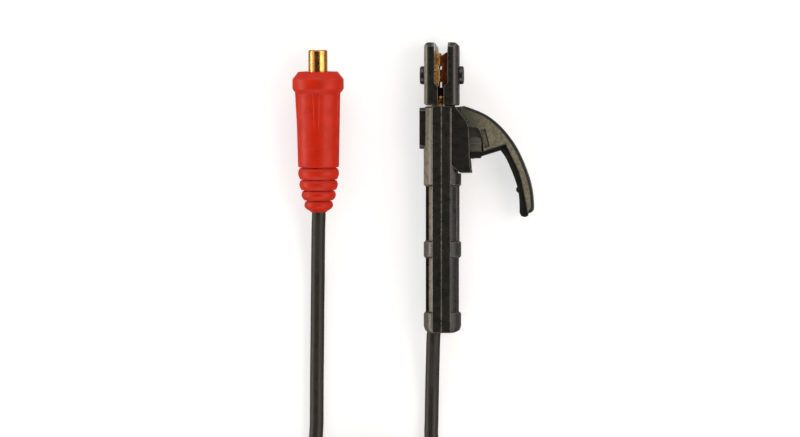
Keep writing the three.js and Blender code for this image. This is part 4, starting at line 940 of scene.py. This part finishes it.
def add(tree, kind, inputs=(), result=0, **settings):
    """One node with its settings. It gives back the output that is asked for, by number or name.

    The inputs go to the first sockets in order, or by number or name in a dict: each is another
    node's output, a hex colour or a plain value. A MapRange takes a value, the range it comes from,
    and the range it is stretched to, or else 0 to 1.
    """
    node = tree.nodes.new("ShaderNode" + kind)
    for name, value in settings.items():
        setattr(node, name, value)
    for name, value in inputs.items() if isinstance(inputs, dict) else enumerate(inputs):
        if isinstance(value, bpy.types.NodeSocket):
            tree.links.new(value, node.inputs[name])
        else:
            node.inputs[name].default_value = linear(value) if isinstance(value, str) else value
    return node.outputs[result] if len(node.outputs) else None


def empty_tree(owner):
    """The node tree of a material or of the world, without its first nodes."""
    owner.use_nodes = True
    owner.node_tree.nodes.clear()
    return owner.node_tree


def new_material(name):
    """A material, its tree, and the place on the object that its patterns are laid on."""
    material = bpy.data.materials.new(name)
    tree = empty_tree(material)
    return material, tree, add(tree, "TexCoord", result="Object")


def patches(tree, place, size, shades, low, high, detail=3.0, rough=0.5):
    """Two shades in patches of size mm, and the noise between them.

    Where the noise is under low the first shade shows, where it is over high the second one.
    """
    cells = {"Vector": place, "Scale": per(size), "Detail": detail, "Roughness": rough}
    noise = add(tree, "TexNoise", cells)
    share = add(tree, "MapRange", (noise, low, high))
    inputs = {SHARE: share, FIRST: shades[0], SECOND: shades[1]}
    return add(tree, "Mix", inputs, **COLOURS), noise


def surfaced(material, colour, roughness, relief, height, **fixed):
    """The material with its surface, whose relief is height mm from lowest to highest."""
    tree = material.node_tree
    normal = add(tree, "Bump", {"Height": relief, "Distance": height * MM})
    inputs = {"Base Color": colour, "Roughness": roughness, "Normal": normal, **fixed}
    add(tree, "OutputMaterial", {"Surface": add(tree, "BsdfPrincipled", inputs)})
    return material


# %% [markdown]
# ### Black moulding
#
# The handle, the lever and the jaws' caps are phenolic resin filled with glass fibre, pressed hot in
# a steel mould. It stands the heat near the arc and doesn't melt. It is brown black, slightly mottled,
# and shines a little where the mould was polished. The edges are a paler grey brown, partly from wear
# and partly as a painted highlight, and slopes that face the bright low light carry a painted sheen.

# %% Black moulding
MOULDED_RELIEF = 0.012


def resin(name, edge_wear_and_highlight_colour="#5d5a50", left_sheen_colour="#7d7769", shine=(0.24, 0.36)):
    """Brown black resin with a mottle of 4 mm, a grain of 0.5 mm and pale worn edges.

    Its edges are paler, partly from wear and partly as a painted highlight. Slopes that face away from
    the lever, towards the bright low light, and a little up or down carry a mottled painted sheen, less
    of it on the collars, whose faces have the attribute "collar". It gives the material and what a
    further finish builds on.
    """
    material, tree, place = new_material(name)
    across, _, upright = add(tree, "SeparateXYZ", [add(tree, "TexCoord", result="Normal")]).node.outputs
    upright = add(tree, "Math", [upright], operation="ABSOLUTE")
    colour, mottle = patches(tree, place, 4, ("#171814", "#21201b"), 0.35, 0.7, 4.0, 0.6)
    grain = add(tree, "TexNoise", {"Vector": place, "Scale": per(0.5), "Detail": 3.0, "Roughness": 0.7})
    slope = add(tree, "MapRange", (upright, 0.02, 0.15))
    left_sheen_share = add(tree, "MapRange", (mottle, 0.3, 0.6, 0.7))
    left_sheen_share = add(tree, "Math", (left_sheen_share, slope), operation="MULTIPLY")
    collar = add(tree, "Attribute", result="Fac", attribute_name="collar")
    left_sheen_share = add(tree, "MapRange", (collar, 0.0, 1.0, left_sheen_share, 0.25))
    # A painted sheen on slopes that face left, towards the bright low light, and less of it on the
    # collars.
    painted_left_sheen = add(tree, "MapRange", (across, -0.4, -0.8, 0.0, left_sheen_share))
    colour = add(tree, "Mix", {SHARE: painted_left_sheen, FIRST: colour, SECOND: left_sheen_colour}, **COLOURS)
    patchy = add(tree, "MapRange", (mottle, 0.38, 0.6, 0.25))
    edge = add(tree, "Attribute", result="Fac", attribute_name="edge")
    # Pale edges, in patches: partly wear, partly a painted highlight.
    worn_and_highlit_edge = add(tree, "Math", (edge, patchy), operation="MULTIPLY")
    colour = add(tree, "Mix", {SHARE: worn_and_highlit_edge, FIRST: colour, SECOND: edge_wear_and_highlight_colour}, **COLOURS)
    return material, place, upright, grain, colour, add(tree, "MapRange", (mottle, 0.3, 0.7, *shine))


def black_moulding(name, *details):
    """The resin as it is on the handle, the screws and the rims."""
    material, _, _, grain, colour, roughness = resin(name, *details)
    return surfaced(material, colour, roughness, grain, MOULDED_RELIEF)


# %% Caps with a painted highlight on the inner walls
# Each pair gives where the painted highlight starts and where it is full.
HIGHLIGHT_MIDDLE = -0.37 * MM
HIGHLIGHT_WIDTH = (6.6 * MM, 5.8 * MM)
HIGHLIGHT_START = (112 * MM, 115 * MM)
HIGHLIGHT_DEPTH = (9 * MM, 7 * MM)


def highlit_cap_moulding(name):
    """Resin with a pale painted highlight on its inner wall near the tip.

    The painted highlight is where the distance from the jaws' middle is below its width, the place
    along the holder is past its start, and the face is steep or lies deeper than its depth.
    """
    material, place, upright, grain, colour, roughness = resin(name)
    tree = material.node_tree
    x, y, z = add(tree, "SeparateXYZ", [place]).node.outputs
    steep = add(tree, "MapRange", (upright, 0.75, 0.4))
    deep = add(tree, "MapRange", (z, *HIGHLIGHT_DEPTH))
    wall = add(tree, "Math", (steep, deep), operation="MAXIMUM")
    tip = add(tree, "MapRange", (y, *HIGHLIGHT_START, 0.0, wall))
    away = add(tree, "Math", (x, HIGHLIGHT_MIDDLE), operation="SUBTRACT")
    away = add(tree, "Math", [away], operation="ABSOLUTE")
    # A pale painted highlight on the inner walls near the tip.
    painted_highlight = add(tree, "MapRange", (away, *HIGHLIGHT_WIDTH, 0.0, tip))
    colour = add(tree, "Mix", {SHARE: painted_highlight, FIRST: colour, SECOND: "#d6d9d2"}, **COLOURS)
    return surfaced(material, colour, roughness, grain, MOULDED_RELIEF)


# %% Dusty flanges of the lever
# Near the root the dusty colour is mixed towards a dark olive: painted shade of the pocket.
LEVER_ROOT = (0.0065, 0.0645, 0.0205)
ROOT_SHADE = (14 * MM, 26 * MM)


def flanged_moulding(name):
    """Resin whose faces with the attribute "flange" are matt, dusty and olive.

    Towards the root, beside the holder's head, the dusty colour is darkened: painted shade.
    """
    material, place, _, grain, colour, roughness = resin(name, "#24241f", "#25241e")
    tree = material.node_tree
    flange = add(tree, "Attribute", result="Fac", attribute_name="flange")
    dusty, _ = patches(tree, place, 1.5, ("#504b3a", "#756f5b"), 0.36, 0.64, 4.0, 0.7)
    away = add(tree, "VectorMath", (place, LEVER_ROOT), "Value", operation="DISTANCE")
    # Painted shade: darker towards the root, beside the holder's head.
    near = add(tree, "MapRange", (away, *ROOT_SHADE, 0.8, 0.0))
    dusty = add(tree, "Mix", {SHARE: near, FIRST: dusty, SECOND: "#35342d"}, **COLOURS)
    colour = add(tree, "Mix", {SHARE: flange, FIRST: colour, SECOND: dusty}, **COLOURS)
    matt = add(tree, "MapRange", (flange, 0.0, 0.5))
    roughness = add(tree, "Math", (roughness, matt), operation="MAXIMUM")
    return surfaced(material, colour, roughness, grain, MOULDED_RELIEF)


# %% [markdown]
# ### Brass, bronze, steel and copper
#
# The core and the fixed jaw are one sand casting of brass: the sand leaves a rough skin, and flux and
# spatter darken it. The moving jaw is a copper alloy that the heat has turned red brown. The plug's
# pin is turned from brass bar and stays bright, with the fine lines of the tool round it.

# %% Metals
# Where the neck lies deep between the caps, the metal is painted darker: painted shade.
NECK_REAR, NECK_FRONT = (78.5 * MM, 79.5 * MM), (93 * MM, 90 * MM)


def cast_metal(name, clean, dark, pit_and_shade_colour, height, neck_shade=0.85):
    """A cast skin: lumps of 0.9 mm, dark pits between them and a stain of 4 mm.

    Between NECK_REAR and NECK_FRONT, where the neck lies deep between the caps, it is darkened by the
    given share: painted shade.
    """
    material, tree, place = new_material(name)
    lumps = add(tree, "TexNoise", {"Vector": place, "Scale": per(0.9), "Detail": 3.0, "Roughness": 0.6})
    skin, _ = patches(tree, place, 4, (clean, dark), 0.35, 0.65)
    pit = add(tree, "MapRange", (lumps, 0.5, 0.36))
    y = add(tree, "SeparateXYZ", [place], "Y")
    # Painted shade at the neck, between the caps; the dark pits elsewhere are the casting's own.
    neck = add(tree, "MapRange", (y, *NECK_REAR, 0.0, neck_shade))
    neck = add(tree, "MapRange", (y, *NECK_FRONT, 0.0, neck))
    black = add(tree, "Math", (pit, neck), operation="MAXIMUM")
    colour = add(tree, "Mix", {SHARE: black, FIRST: skin, SECOND: pit_and_shade_colour}, **COLOURS)
    roughness = add(tree, "MapRange", (lumps, 0.35, 0.65, 0.62, 0.4))
    return surfaced(material, colour, roughness, lumps, height, Metallic=1.0)


def turned_metal(name, colour, tarnish, line, along, polish=0.28):
    """A turned or drawn metal with lines of the given width in mm, across the along axis."""
    material, tree, place = new_material(name)
    wave = {"Vector": place, "Scale": per(line) / WAVE_LINES, "Distortion": 0.6, "Detail Scale": 0.4}
    lines = add(tree, "TexWave", wave, "Fac", bands_direction=along)
    shade, stain = patches(tree, place, 3, (colour, tarnish), 0.45, 0.75)
    roughness = add(tree, "MapRange", (stain, 0.4, 0.7, polish, polish + 0.15))
    return surfaced(material, shade, roughness, lines, 0.002, Metallic=1.0)


# %% [markdown]
# ### Rubber and strap
#
# The cable's jacket is extruded neoprene rubber, brown black and satin. The sleeve is moulded from
# softer red rubber. The strap is woven nylon, whose ribs are drawn about twice as coarse as they are
# on the real one, so that they show.


# %% Rubbers and strap
def rubber(name, pale, deep, patch, grain, dull, specular):
    """Satin rubber: two shades in patches of patch mm, and a skin with a grain of grain mm."""
    material, tree, place = new_material(name)
    colour, wear = patches(tree, place, patch, (pale, deep), 0.35, 0.7)
    skin = add(tree, "TexNoise", {"Vector": place, "Scale": per(grain), "Detail": 2.0})
    roughness = add(tree, "MapRange", (wear, 0.3, 0.7, dull, dull + 0.1))
    return surfaced(material, colour, roughness, skin, 0.01, **{"Specular IOR Level": specular})


def woven_strap(name, rib):
    """Black nylon in a plain weave: two sets of ribs, rib mm wide, that cross each other."""
    material, tree, place = new_material(name)
    wave = {"Vector": place, "Scale": per(rib) / WAVE_LINES}
    across = add(tree, "TexWave", wave, "Fac", bands_direction="X")
    along = add(tree, "TexWave", wave, "Fac", bands_direction="Y")
    weave = add(tree, "Math", (across, along), operation="MULTIPLY")
    colour = add(tree, "Mix", {SHARE: weave, FIRST: "#101112", SECOND: "#303236"}, **COLOURS)
    return surfaced(material, colour, 0.75, weave, 0.15)


# %% Give every piece its finish
def dress(material, *dressed):
    """One material for the whole of each piece, which is given itself or by its node's name."""
    by_name = {**NODES, **pieces}
    for piece in dressed:
        slots = by_name.get(piece, piece).data.materials
        slots.clear()
        slots.append(material)


clamp_screws = [node for node in NODES if "clamp_screw" in node]
steel = turned_metal("zinc_plated_steel", "#a4a5a3", "#7d7e7b", 0.3, "X")
oiled_steel = turned_metal("oiled_steel", "#3c3a36", "#292825", 0.3, "X")
copper = turned_metal("drawn_copper", "#c27b55", "#8e5337", 0.3, "Y")
brass = cast_metal("sand_cast_brass", "#efbf78", "#ad7b42", "#3d2a13", 0.2)
dull_brass = cast_metal("dull_brass", "#eba261", "#c07b42", "#3a2818", 0.05, neck_shade=0.0)
bronze = cast_metal("heat_stained_bronze", "#8d4a35", "#6b3425", "#2e1a13", 0.12)
pin_brass = turned_metal("turned_brass", "#e8a65e", "#c98a48", 0.25, "Y", 0.2)
moulding = black_moulding("black_phenolic_moulding")
rim_moulding = black_moulding("polished_phenolic_moulding", "#24241f", "#25241e", (0.4, 0.5))
cap_moulding = highlit_cap_moulding("phenolic_moulding_painted_highlight")
lever_moulding = flanged_moulding("matt_flanged_moulding")

dress(steel, spring, "handle_screw", *clamp_screws)
dress(oiled_steel, "lever_pin", "pivot_pin")
dress(copper, "holder_conductor", "plug_conductor", "holder_ferrule", "plug_ferrule")
dress(brass, "fixed_jaw")
dress(dull_brass, neck_pin)
dress(bronze, "moving_jaw")
dress(pin_brass, "plug_body")
dress(moulding, *flash_lines, "handle", "fixed_jaw_screw", "moving_jaw_screw")
dress(rim_moulding, *rims)
dress(cap_moulding, "fixed_jaw_insulator", "moving_jaw_insulator")
dress(lever_moulding, root_web, "lever")
dress(rubber("neoprene_jacket", "#1f1e18", "#27251e", 6, 0.6, 0.4, 0.32), cable, *jackets)
dress(rubber("red_moulded_rubber", "#bd2306", "#b01c04", 7, 0.5, 0.38, 0.2), sleeve)
dress(woven_strap("woven_nylon", 0.8), strap)
print(len(bpy.data.materials), "materials,", len(clamp_screws), "clamp screws")

# %% [markdown]
# ## Light
#
# The photograph has a bright soft light low on the left, a weaker one on the right, and darkness
# overhead, where the camera stands. Black plastic shows little but these reflections. The table is
# white and keeps a soft shadow.

# %% World: pale near the horizon and dark overhead
HORIZON, OVERHEAD = 1.3, 0.03
world = bpy.data.worlds.new("studio")
bpy.context.scene.world = world
tree = empty_tree(world)
height = add(tree, "SeparateXYZ", [add(tree, "TexCoord", result="Generated")], "Z")
strength = add(tree, "MapRange", (height, 0.0, 0.8, HORIZON, OVERHEAD))
add(tree, "OutputWorld", [add(tree, "Background", ("#ffffff", strength))])

# %% Table
TABLE_HALF = 4.0
paint_of_table = bpy.data.materials.new("white_table")
tree = empty_tree(paint_of_table)
paint = add(tree, "BsdfDiffuse", ["#a6a6a6"])
pale = add(tree, "BsdfDiffuse", ["#c4c4c4"])
both = add(tree, "AddShader", (pale, add(tree, "Emission", ("#ffffff", 0.54))))
seen = add(tree, "LightPath", result="Is Camera Ray")
add(tree, "OutputMaterial", [add(tree, "MixShader", (seen, paint, both))])
mesh = bpy.data.meshes.new("table")
corners = np.array([(-1, -1, 0), (1, -1, 0), (1, 1, 0), (-1, 1, 0)]) * TABLE_HALF
mesh.from_pydata(corners.tolist(), [], [(0, 1, 2, 3)])
mesh.materials.append(paint_of_table)
table = in_scene("table", mesh)


# %% Lamps
def soft_lamp(name, place, size, radiance, colour="#ffffff"):
    """A rectangular lamp of size (width, height) in metres that faces the middle of the view.

    Its power in watts is radiance * pi * area.
    """
    data = bpy.data.lights.new(name, "AREA")
    data.shape = "RECTANGLE"
    data.size, data.size_y = size
    data.energy = radiance * math.pi * size[0] * size[1]
    data.color = linear(colour)[:3]
    lamp = in_scene(name, data)
    lamp.location = place
    lamp.rotation_euler = (VIEW_CENTRE - Vector(place)).to_track_quat("-Z", "Y").to_euler()


soft_lamp("left_low_light", (-1.3, 0.05, 0.2), (1.8, 0.25), 8.0, "#fff3e0")
soft_lamp("right_low_light", (1.3, 0.05, 0.4), (1.4, 0.4), 1.0)
soft_lamp("left_high_light", (-1.1, 0.0, 0.9), (1.2, 0.4), 0.7)
soft_lamp("right_high_light", (1.1, 0.0, 1.1), (1.2, 0.8), 3.9, "#fff1e2")
soft_lamp("front_light", (0.1, -1.4, 0.95), (1.8, 0.8), 2.8)
soft_lamp("back_light", (-0.1, 1.4, 0.95), (1.8, 0.8), 2.8)

# %% Finish
bpy.context.scene.view_settings.view_transform = "Standard"
